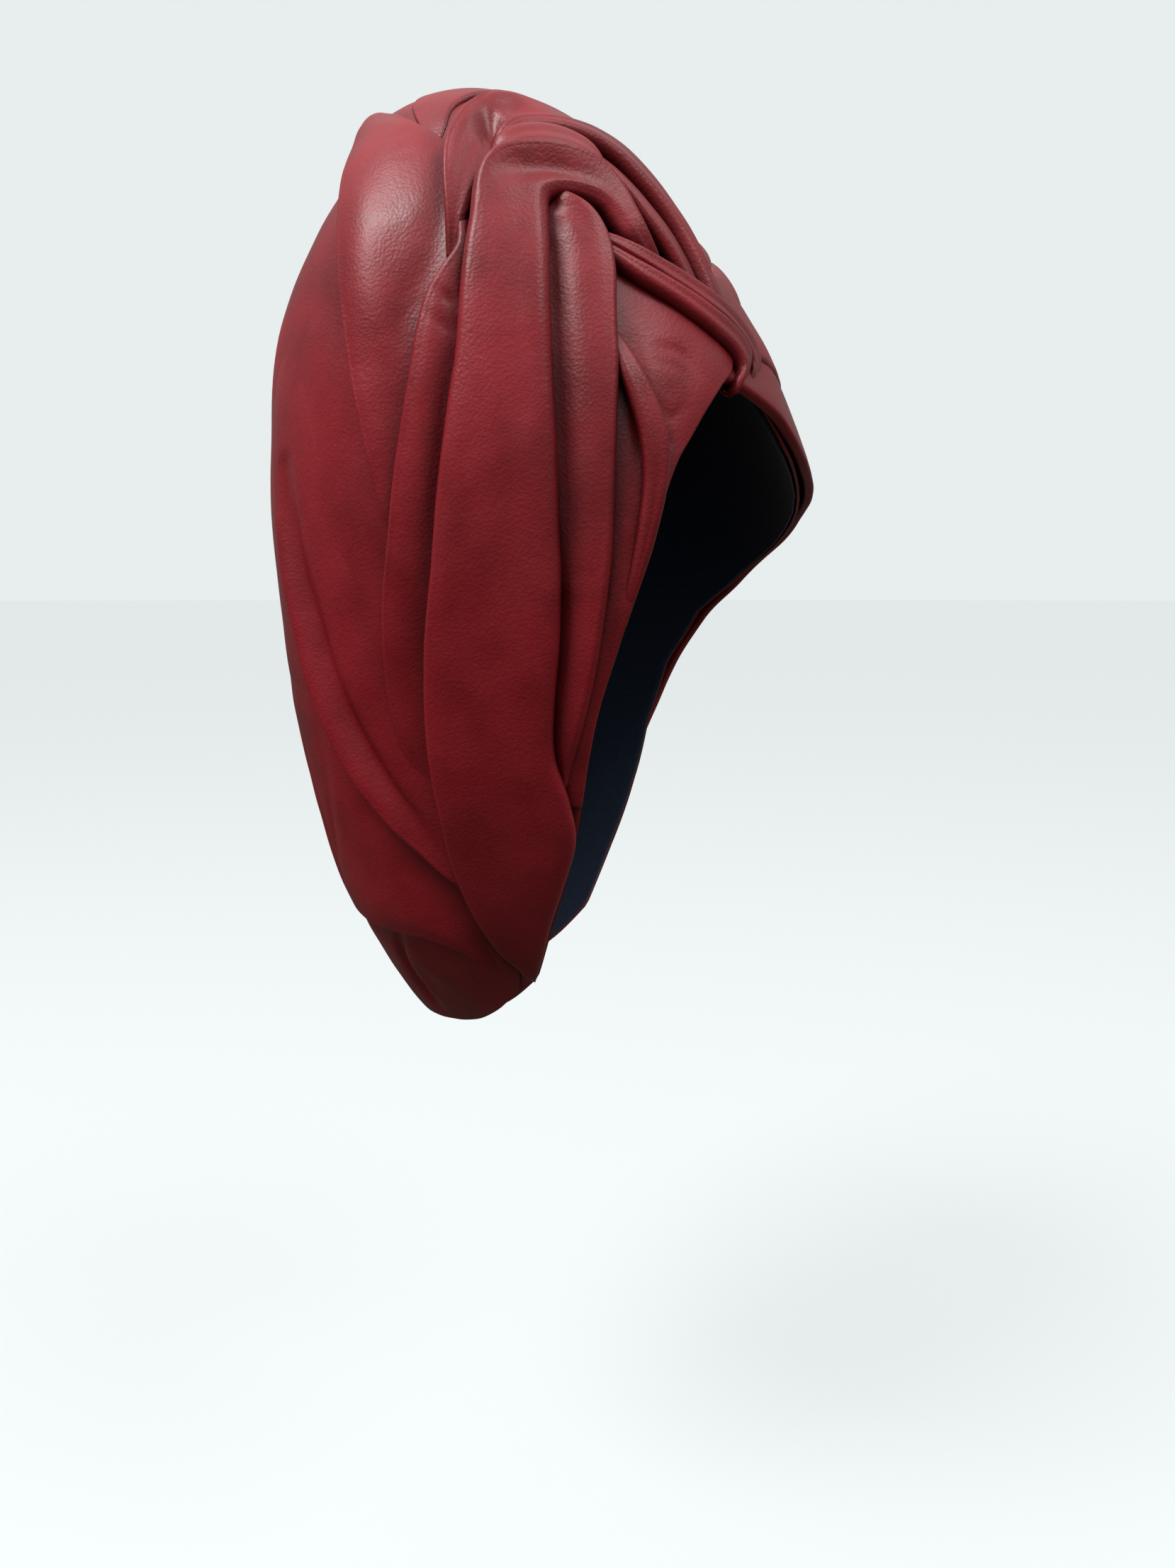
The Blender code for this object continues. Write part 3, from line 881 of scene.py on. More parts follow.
@dataclass
class CapAndLining:
    """The leather cap that carries the folds, and the navy lining inside it."""

    leather: bpy.types.Material
    cotton: bpy.types.Material
    flat: tuple[float, float] = (0.5, 0.27)
    leather_step: float = 0.0021
    cotton_step: float = 0.0030
    leather_wall: float = 0.0009
    cotton_wall: float = 0.0005
    lining_depth: float = 0.0019
    rim: float = 0.885
    seam_end: float = 0.4095
    opening: Table = (
        # down, turn at the right edge, turn at the left edge; both meet in a seam over the brow
        (0.000, 152.0, -208.0),
        (0.410, 152.0, -208.0),
        (0.430, 137.0, -200.0),
        (0.455, 127.5, -192.0),
        (0.478, 121.0, -174.0),
        (0.500, 117.5, -154.0),
        (0.525, 113.5, -133.0),
        (0.555, 109.0, -116.0),
        (0.595, 103.5, -106.0),
        (0.645, 100.5, -101.0),
        (0.700, 99.0, -99.0),
        (0.760, 98.0, -98.0),
        (0.820, 97.5, -97.5),
        (0.850, 92.0, -92.0),
        (0.870, 88.0, -88.0),
        (0.885, 80.0, -80.0),
    )
    creases: tuple[Crease, ...] = (
        *CROWN_SAG,
        Crease(((0.54, 33.0), (0.562, 36.0), (0.590, 40.0), (0.62, 42.5)), 1.8, 1.7),
        Crease(((0.210, 80.0), (0.260, 87.5), (0.310, 88.5), (0.360, 85.0), (0.40, 80.0)), 1.5, 6.0),
        Crease(((0.24, 42.0), (0.31, 55.0), (0.38, 63.0), (0.46, 66.5)), 0.4, 4.0),
        Crease(((0.40, 54.0), (0.48, 59.0), (0.56, 59.0), (0.62, 57.0)), -1.8, 8.0),
        Crease(((0.30, 48.0), (0.40, 52.0), (0.52, 50.0)), 0.8, 6.0),
        Crease(((0.28, 30.0), (0.42, 34.0), (0.54, 30.0)), -1.0, 9.0),
        Crease(((0.22, 8.0), (0.36, 6.0), (0.50, 4.0)), 1.0, 7.0),
        Crease(((0.24, -22.0), (0.36, -26.0), (0.50, -24.0)), -1.2, 9.0),
        Crease(((0.26, -48.0), (0.38, -52.0), (0.52, -52.0)), 0.9, 6.0),
    )

    def _grid(self, height: float, step: float) -> np.ndarray:
        """Lay the whole shell at one height over the form.

        Args:
            height: Height over the form, in metres.
            step: The distance between its points, in metres.

        Returns:
            A grid of points, closed at the crown and along the seam over the brow.
        """
        table = np.array(self.opening)
        down = np.linspace(0.0, self.rim, int(self.flat[1] / step))
        right = np.interp(down, table[:, 0], table[:, 1])
        left = np.interp(down, table[:, 0], table[:, 2])
        share = np.linspace(0, 1, int(self.flat[0] / step))
        turn = right[:, None] + (left - right)[:, None] * share
        level = np.broadcast_to(down[:, None], turn.shape)
        grid = FORM.place(level, turn) + FORM.outward(level, turn) * height
        self._close(grid)
        return grid

    def _close(self, values: np.ndarray) -> None:
        """Make values on the shell's grid agree at the crown and along the seam."""
        values[0] = values[0].mean(0)
        seam = np.linspace(0.0, self.rim, len(values)) <= self.seam_end
        values[seam, -1] = values[seam, 0]

    def _dented(self, grid: np.ndarray) -> np.ndarray:
        """Press slow waves and the creases into the cap."""
        lift = smooth_noise(grid, 30.0, 5.0) * 0.5 + smooth_noise(grid, 12.0, 8.0) * 0.15
        for crease in self.creases:
            lift -= crease.pressed(grid) / MM
        self._close(lift)
        return grid + away_from_head(grid) * (lift * MM)[..., None]

    def _shell(
        self, name: str, node: str, grid: np.ndarray, wall: float, finish: bpy.types.Material
    ) -> None:
        """Cut, close, thicken and dress one shell, and hide the CAD node that it stands for.

        Args:
            name: The piece's name.
            node: The CAD node that it stands for.
            grid: Its points, in metres.
            wall: Its thickness, in metres.
            finish: Its material.
        """
        cutter = LeatherCutter()
        piece = cutter.cut(name, grid)
        close_joins(piece)
        give_wall(piece, wall)
        piece.data.materials.clear()
        piece.data.materials.append(finish)
        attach(piece, "root")
        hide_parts(node)
        LOG.info("%s: %.0f cm2", name, cutter.flat_area * 1e4)

    def build(self) -> None:
        """Build the cap and the lining."""
        cap = self._dented(self._grid(0.0, self.leather_step))
        self._shell("leather_cap", "crown", cap, self.leather_wall, self.leather)
        lining = self._grid(-self.lining_depth, self.cotton_step)
        self._shell("navy_lining", "lining", lining, self.cotton_wall, self.cotton)


def between_edges(table: Table, first: float, last: float, rise: float, lap: float) -> Table:
    """Take one pleat out of a table of two edges.

    Args:
        table: Rows of down and turn of one edge, down and turn of the other, lift.
        first: Where the pleat starts, as a share of the way across.
        last: Where it ends.
        rise: Its height in millimetres where the lift is 1.
        lap: How far it reaches over its neighbours, as a share of the way across.

    Returns:
        Stations for a panel.
    """
    rows = np.array(table, float)
    one = to_plane(rows[:, 0], rows[:, 1])
    two = to_plane(rows[:, 2], rows[:, 3])
    start = one + (two - one) * (first - lap)
    end = one + (two - one) * (last + lap)
    high = rows[:, 4] * rise
    start_down, start_turn = from_plane(start)
    end_down, end_turn = from_plane(end)
    return tuple(zip(start_down, start_turn, end_down, end_turn, high, high))


@dataclass
class RightBackFold(WrapPart):
    """The broad flat panel behind the main pleats, with its lip over the cap."""

    name: str = "rear_panel_right"
    nodes: tuple[str, ...] = ("right_back_fold",)
    panels: tuple[Panel, ...] = (
        Panel(
            "panel",
            (
                # down, turn of the lip; down, turn of the front edge; rise at each
                (0.155, 46.0, 0.168, 53.0, 1.0, 1.0),
                (0.176, 38.5, 0.186, 65.0, 3.6, 2.2),
                (0.205, 40.5, 0.210, 75.0, 4.8, 1.8),
                (0.238, 46.0, 0.240, 86.0, 5.2, 1.6),
                (0.273, 52.5, 0.276, 91.0, 5.2, 1.4),
                (0.305, 58.0, 0.315, 92.5, 5.0, 1.4),
                (0.340, 62.5, 0.350, 92.5, 5.0, 1.4),
                (0.378, 66.8, 0.385, 88.0, 5.0, 1.4),
                (0.408, 68.5, 0.412, 85.0, 4.8, 1.4),
                (0.440, 70.0, 0.442, 82.0, 4.4, 1.0),
                (0.475, 71.6, 0.475, 79.2, 3.8, 1.6),
                (0.505, 73.0, 0.505, 77.0, 2.8, 1.4),
                (0.530, 73.8, 0.530, 76.0, 1.0, 0.6),
            ),
            profile=((0.0, 0.96), (0.2, 1.12), (0.45, 1.05), (0.75, 0.75), (1.0, 0.6)),
            lip=2.3,
            waves=0.6,
            creases=(
                Crease(((0.222, 79.0), (0.232, 74.0), (0.244, 70.0)), 0.5, 1.5),
                Crease(((0.236, 82.0), (0.246, 76.0), (0.258, 73.0)), 0.5, 1.5),
                Crease(((0.255, 85.0), (0.262, 79.0), (0.268, 74.0)), 0.4, 1.5),
                Crease(((0.210, 80.0), (0.260, 87.5), (0.310, 88.5), (0.360, 85.0), (0.40, 80.0)), 1.3, 4.5),
                Crease(((0.362, 87.0), (0.372, 82.0), (0.378, 80.0)), 0.6, 1.4),
                Crease(((0.374, 86.0), (0.386, 81.0), (0.396, 80.0)), 0.6, 1.4),
                Crease(((0.30, 66.0), (0.35, 72.0), (0.40, 76.0)), -0.9, 6.0),
            ),
        ),
    )


@dataclass
class RightWrap(WrapPart):
    """The three main pleats on the right; the broad one turns over the knot as a loop."""

    name: str = "main_pleats_right"
    nodes: tuple[str, ...] = ("right_wrap", "knot_loop")
    panels: tuple[Panel, ...] = (
        Panel(
            "rear_pleat",
            (
                # down, turn of the rear lip; down, turn under the broad pleat; rise at each
                (0.325, 90.2, 0.325, 93.5, 2.2, 2.0),
                (0.345, 90.0, 0.347, 94.5, 3.6, 2.6),
                (0.362, 87.7, 0.365, 94.0, 4.4, 3.0),
                (0.380, 85.0, 0.383, 93.3, 4.8, 3.2),
                (0.400, 83.2, 0.402, 92.4, 5.0, 3.4),
                (0.425, 81.2, 0.426, 90.8, 5.0, 3.5),
                (0.455, 78.4, 0.455, 89.0, 5.0, 3.5),
                (0.485, 75.8, 0.485, 86.8, 5.0, 3.5),
                (0.515, 73.4, 0.515, 84.8, 4.8, 3.5),
                (0.545, 70.8, 0.545, 83.0, 4.2, 3.2),
                (0.575, 68.9, 0.575, 81.2, 3.4, 2.6),
                (0.605, 68.2, 0.605, 80.2, 2.6, 1.8),
                (0.635, 69.0, 0.635, 79.8, 1.8, 1.2),
                (0.665, 72.2, 0.665, 80.0, 1.0, 0.6),
                (0.695, 76.2, 0.695, 81.0, 0.0, 0.0),
                (0.715, 79.5, 0.715, 82.5, -1.0, -1.0),
            ),
            profile=((0.0, 0.95), (0.25, 1.15), (0.5, 1.05), (0.78, 0.62), (1.0, 0.40)),
            second=Edge.TUCKED,
            lip=2.4,
            tuck=2.0,
            creases=(
                Crease(((0.375, 87.5), (0.386, 90.0)), 0.7, 1.3),
                Crease(((0.390, 85.5), (0.402, 89.0)), 0.6, 1.3),
                Crease(((0.42, 88.0), (0.47, 85.0), (0.53, 81.5)), 0.8, 2.6),
            ),
        ),
        Panel(
            "front_pleat",
            (
                # down, turn under the broad pleat; down, turn of the front lip; rise at each
                (0.2955, 112.0, 0.297, 115.5, 1.6, 1.8),
                (0.305, 111.0, 0.3065, 116.2, 4.2, 4.4),
                (0.3145, 109.9, 0.3150, 118.6, 5.4, 5.8),
                (0.325, 108.6, 0.3240, 121.0, 5.4, 6.4),
                (0.337, 107.2, 0.3350, 122.4, 4.8, 6.5),
                (0.350, 105.9, 0.3480, 122.6, 4.2, 6.4),
                (0.368, 104.5, 0.366, 121.4, 3.7, 6.2),
                (0.390, 103.2, 0.389, 119.0, 3.4, 5.8),
                (0.420, 101.6, 0.419, 116.5, 3.4, 5.6),
                (0.450, 100.0, 0.450, 113.6, 3.4, 5.4),
                (0.480, 98.8, 0.480, 111.2, 3.4, 5.3),
                (0.515, 97.6, 0.515, 108.7, 3.4, 5.2),
                (0.550, 96.6, 0.550, 106.0, 3.4, 5.0),
                (0.580, 95.2, 0.580, 103.5, 3.2, 4.6),
                (0.605, 94.0, 0.606, 101.2, 3.0, 4.2),
                (0.630, 93.6, 0.631, 99.1, 2.6, 3.6),
                (0.652, 94.4, 0.654, 97.4, 1.8, 2.6),
            ),
            profile=((0.0, 0.42), (0.22, 0.55), (0.5, 0.92), (0.8, 1.10), (1.0, 1.0)),
            first=Edge.TUCKED,
            lip=2.4,
            tuck=2.0,
            creases=(
                Crease(((0.345, 109.5), (0.40, 106.5), (0.46, 103.5), (0.53, 101.5)), 1.1, 3.4),
                Crease(((0.330, 107.5), (0.350, 108.5), (0.385, 106.0)), 0.9, 4.2),
                Crease(((0.319, 114.0), (0.325, 116.0), (0.336, 117.0)), 0.9, 2.2),
                Crease(((0.316, 111.0), (0.320, 113.5)), 0.6, 1.0),
                Crease(((0.328, 110.0), (0.333, 113.0)), 0.5, 1.0),
                Crease(((0.333, 109.5), (0.338, 112.5)), 0.5, 1.0),
            ),
        ),
        Panel(
            "broad_pleat_and_loop",
            (
                # down, turn of the rear and outer lip; down, turn of the front lip; rise at each
                (0.816, 95.2, 0.818, 96.6, 2.2, 2.2),
                (0.806, 92.6, 0.808, 96.6, 4.2, 4.0),
                (0.788, 88.0, 0.785, 96.8, 5.4, 4.4),
                (0.765, 84.0, 0.757, 97.0, 6.4, 4.8),
                (0.740, 80.4, 0.722, 97.9, 7.0, 5.2),
                (0.705, 77.2, 0.690, 99.2, 7.4, 5.6),
                (0.665, 76.4, 0.662, 98.0, 7.8, 6.2),
                (0.633, 76.4, 0.632, 95.9, 8.0, 6.8),
                (0.603, 77.1, 0.603, 96.3, 8.2, 7.0),
                (0.568, 78.7, 0.568, 98.0, 8.4, 7.2),
                (0.530, 81.4, 0.530, 99.5, 8.5, 7.3),
                (0.495, 83.6, 0.495, 100.6, 8.6, 7.4),
                (0.462, 85.9, 0.462, 102.0, 8.6, 7.4),
                (0.430, 88.0, 0.430, 103.5, 8.6, 7.4),
                (0.400, 89.6, 0.400, 105.2, 8.6, 7.4),
                (0.372, 90.7, 0.374, 106.8, 8.6, 7.4),
                (0.350, 91.8, 0.353, 108.3, 8.6, 7.2),
                (0.334, 92.8, 0.337, 109.4, 8.6, 7.0),
                (0.319, 93.5, 0.3260, 110.2, 8.8, 6.8),
                (0.305, 94.3, 0.3200, 110.8, 9.2, 6.8),
                (0.293, 95.8, 0.3165, 111.6, 9.5, 6.8),
                (0.2835, 98.3, 0.3145, 112.8, 9.8, 6.8),
                (0.277, 102.7, 0.3130, 114.2, 10.0, 6.8),
                (0.2725, 108.6, 0.3125, 115.8, 10.0, 6.8),
                (0.272, 114.6, 0.3130, 117.4, 9.9, 6.8),
                (0.2745, 120.4, 0.3140, 119.2, 9.7, 6.8),
                (0.280, 125.6, 0.3155, 121.0, 9.4, 6.6),
                (0.290, 129.4, 0.3180, 122.8, 9.0, 6.6),
                (0.303, 131.6, 0.3225, 124.4, 8.6, 6.6),
                (0.319, 132.9, 0.3300, 125.8, 8.2, 6.6),
                (0.335, 134.0, 0.3385, 127.2, 7.4, 6.2),
                (0.350, 136.0, 0.3480, 130.0, 5.2, 4.6),
                (0.362, 138.0, 0.3570, 134.0, 2.0, 2.0),
            ),
            profile=((0.0, 0.90), (0.14, 1.02), (0.34, 1.01), (0.6, 0.97), (0.84, 1.0), (1.0, 0.90)),
            lip=2.9,
            tuck=3.5,
            spacing=0.9,
            waves=0.45,
            creases=(
                Crease(
                    ((0.303, 97.5), (0.296, 102.0), (0.292, 108.0), (0.292, 114.0), (0.297, 119.0)),
                    3.0,
                    4.2,
                ),
                Crease(
                    ((0.319, 98.0), (0.315, 102.5), (0.310, 107.0), (0.307, 112.5), (0.310, 118.0)),
                    -1.0,
                    2.4,
                ),
                Crease(((0.303, 115.5), (0.3085, 118.5), (0.3095, 122.5)), 2.0, 1.1),
                Crease(((0.309, 117.0), (0.3135, 119.5), (0.3150, 123.0)), 1.8, 1.0),
                Crease(((0.300, 122.0), (0.310, 125.5), (0.326, 127.8), (0.346, 130.0)), 2.0, 1.2),
                Crease(((0.289, 104.0), (0.292, 107.0), (0.291, 111.0)), 0.8, 0.9),
                Crease(((0.294, 105.0), (0.2965, 108.0), (0.296, 112.0)), 0.8, 0.9),
                Crease(((0.285, 103.0), (0.2865, 107.0), (0.286, 111.0)), 0.6, 0.9),
                Crease(((0.290, 99.5), (0.297, 100.5)), 0.6, 1.0),
                Crease(((0.286, 101.0), (0.294, 102.5)), 0.6, 1.0),
                Crease(((0.299, 125.5), (0.310, 128.2), (0.326, 130.4)), 1.0, 0.9),
                Crease(((0.60, 84.0), (0.66, 86.0), (0.72, 88.0)), 0.6, 5.0),
                Crease(((0.38, 96.0), (0.46, 93.0), (0.54, 89.0)), -0.5, 6.0),
            ),
        ),
    )


@dataclass
class RightFrontBand(WrapPart):
    """The flat panel along the face opening on the right, with its slender pleat."""

    name: str = "front_band_right"
    nodes: tuple[str, ...] = ("right_front_band",)
    panels: tuple[Panel, ...] = (
        Panel(
            "panel",
            (
                # down, turn under the front pleat; down, turn of the opening; rise at each
                (0.345, 119.0, 0.372, 146.0, 1.6, 1.6),
                (0.360, 118.5, 0.392, 149.5, 2.2, 2.4),
                (0.378, 117.0, 0.405, 149.0, 2.4, 2.8),
                (0.395, 115.5, 0.417, 146.2, 2.4, 3.0),
                (0.412, 114.0, 0.427, 140.8, 2.4, 3.0),
                (0.430, 112.5, 0.441, 134.8, 2.4, 2.8),
                (0.450, 110.5, 0.458, 129.0, 2.4, 2.6),
                (0.470, 109.0, 0.475, 123.6, 2.4, 2.4),
                (0.490, 107.3, 0.494, 119.6, 2.2, 2.2),
                (0.512, 106.0, 0.515, 116.3, 2.0, 2.0),
                (0.540, 104.0, 0.541, 112.2, 1.8, 1.8),
                (0.570, 101.0, 0.572, 107.5, 1.6, 1.6),
                (0.600, 98.5, 0.603, 103.6, 1.5, 1.5),
                (0.632, 96.0, 0.634, 101.3, 1.4, 1.4),
                (0.668, 94.0, 0.668, 99.9, 1.2, 1.2),
            ),
            profile=((0.0, 0.35), (0.2, 0.55), (0.5, 1.1), (0.85, 1.1), (1.0, 0.95)),
            first=Edge.TUCKED,
            lip=0.9,
            tuck=3.0,
            waves=0.7,
            creases=(
                Crease(((0.408, 126.5), (0.410, 131.5), (0.422, 134.0)), 0.7, 1.6),
                Crease(((0.416, 125.0), (0.419, 129.5), (0.428, 131.5)), 0.5, 1.4),
                Crease(((0.440, 122.5), (0.448, 124.5), (0.444, 128.0)), 0.6, 1.5),
                Crease(((0.455, 120.5), (0.462, 122.0), (0.464, 124.5)), 0.6, 1.4),
                Crease(((0.490, 115.5), (0.515, 112.5), (0.540, 109.5)), 0.7, 2.0),
                Crease(((0.405, 121.0), (0.43, 119.8), (0.46, 117.0), (0.50, 112.5)), 1.1, 2.6),
            ),
        ),
        Panel(
            "slender_pleat",
            (
                # down, turn of one lip; down, turn of the other; rise at each
                (0.394, 117.4, 0.394, 118.4, 0.4, 0.4),
                (0.408, 116.4, 0.408, 119.2, 3.0, 3.0),
                (0.424, 116.4, 0.425, 120.4, 4.4, 4.4),
                (0.440, 116.9, 0.442, 121.4, 4.9, 4.9),
                (0.457, 117.2, 0.459, 121.8, 5.0, 5.0),
                (0.473, 116.8, 0.474, 121.0, 4.8, 4.8),
                (0.489, 115.8, 0.489, 119.4, 4.2, 4.2),
                (0.505, 114.2, 0.505, 117.2, 3.4, 3.4),
                (0.523, 112.2, 0.523, 114.6, 2.4, 2.4),
                (0.543, 109.8, 0.543, 111.4, 1.2, 1.2),
                (0.560, 108.0, 0.560, 109.0, -0.6, -0.6),
            ),
            lip=1.1,
            tuck=1.5,
            waves=0.2,
        ),
    )


@dataclass
class TopTwist(WrapPart):
    """The twisted strip that leaves the knot and goes back over the crown."""

    name: str = "top_twist_leather"
    nodes: tuple[str, ...] = ("top_twist",)
    panels: tuple[Panel, ...] = (
        Panel(
            "strip",
            (
                # down, turn of the rear lip; down, turn of the front edge; rise at each
                (0.352, 88.6, 0.352, 90.4, 1.4, 1.4),
                (0.325, 88.6, 0.325, 92.5, 4.4, 3.4),
                (0.297, 88.1, 0.300, 95.5, 5.8, 3.6),
                (0.270, 87.6, 0.282, 98.6, 6.4, 3.8),
                (0.247, 88.2, 0.268, 102.0, 6.6, 4.0),
                (0.226, 90.4, 0.256, 106.5, 6.8, 4.4),
                (0.207, 94.0, 0.246, 112.0, 7.0, 5.0),
                (0.193, 99.0, 0.239, 119.5, 7.0, 5.0),
                (0.185, 106.0, 0.236, 129.0, 6.0, 4.6),
                (0.183, 115.0, 0.240, 139.0, 4.8, 4.2),
                (0.185, 126.0, 0.248, 148.0, 4.0, 3.8),
                (0.192, 138.0, 0.260, 156.0, 3.0, 2.8),
                (0.204, 150.0, 0.274, 163.0, 2.2, 2.0),
                (0.222, 161.0, 0.290, 169.0, 1.2, 1.0),
                (0.240, 168.0, 0.300, 174.0, -0.4, -0.4),
            ),
            profile=((0.0, 0.92), (0.2, 1.04), (0.5, 0.96), (0.8, 1.0), (1.0, 0.9)),
            lip=1.7,
            tuck=3.0,
            spacing=0.9,
            creases=(
                Crease(((0.198, 98.6), (0.218, 98.8), (0.240, 99.0), (0.262, 99.8)), 4.6, 3.6),
                Crease(((0.208, 101.8), (0.222, 102.8), (0.240, 103.6)), -0.9, 1.6),
                Crease(((0.200, 104.0), (0.211, 107.0), (0.224, 110.0)), 2.4, 3.2),
                Crease(((0.203, 95.2), (0.225, 95.0), (0.247, 95.6), (0.268, 97.0)), 1.3, 0.9),
                Crease(((0.210, 93.8), (0.230, 93.6), (0.252, 94.4), (0.268, 96.0)), -0.8, 1.0),
                Crease(((0.222, 97.0), (0.223, 100.6)), 0.6, 0.8),
                Crease(((0.231, 97.0), (0.232, 101.2)), 0.6, 0.8),
                Crease(((0.240, 97.2), (0.241, 101.4)), 0.6, 0.8),
                Crease(((0.236, 94.0), (0.241, 95.6)), 0.5, 0.8),
                Crease(((0.246, 94.0), (0.251, 96.0)), 0.5, 0.8),
            ),
        ),
    )


@dataclass
class CrownFolds(WrapPart):
    """The two soft humps that cross the crown behind the twist."""

    name: str = "crown_folds_leather"
    nodes: tuple[str, ...] = ("crown_folds",)
    lap: float = 0.03
    table: Table = (
        # down and turn of the rear edge, down and turn of the front edge, lift
        (0.226, 70.0, 0.234, 84.0, -0.10),
        (0.208, 65.0, 0.214, 86.0, 0.05),
        (0.188, 59.0, 0.195, 88.0, 0.20),
        (0.160, 50.0, 0.172, 92.0, 0.38),
        (0.122, 36.0, 0.150, 100.0, 0.45),
        (0.088, 8.0, 0.130, 115.0, 0.50),
        (0.078, -40.0, 0.118, 145.0, 0.70),
        (0.104, -72.0, 0.122, 188.0, 0.90),
        (0.145, -86.0, 0.150, 218.0, 1.00),
        (0.195, -93.0, 0.195, 232.0, 0.80),
        (0.250, -97.0, 0.250, 240.0, 0.50),
    )

    def __post_init__(self) -> None:
        """Part the table into two humps."""
        humps = (("rear_hump", 0.0, 0.5, 3.0, 1.6), ("front_hump", 0.5, 1.0, 3.8, 1.8))
        self.panels = tuple(
            Panel(
                name,
                between_edges(self.table, first, last, rise, self.lap),
                lip=lip,
                waves=0.8,
                creases=CROWN_SAG,
            )
            for name, first, last, rise, lip in humps
        )


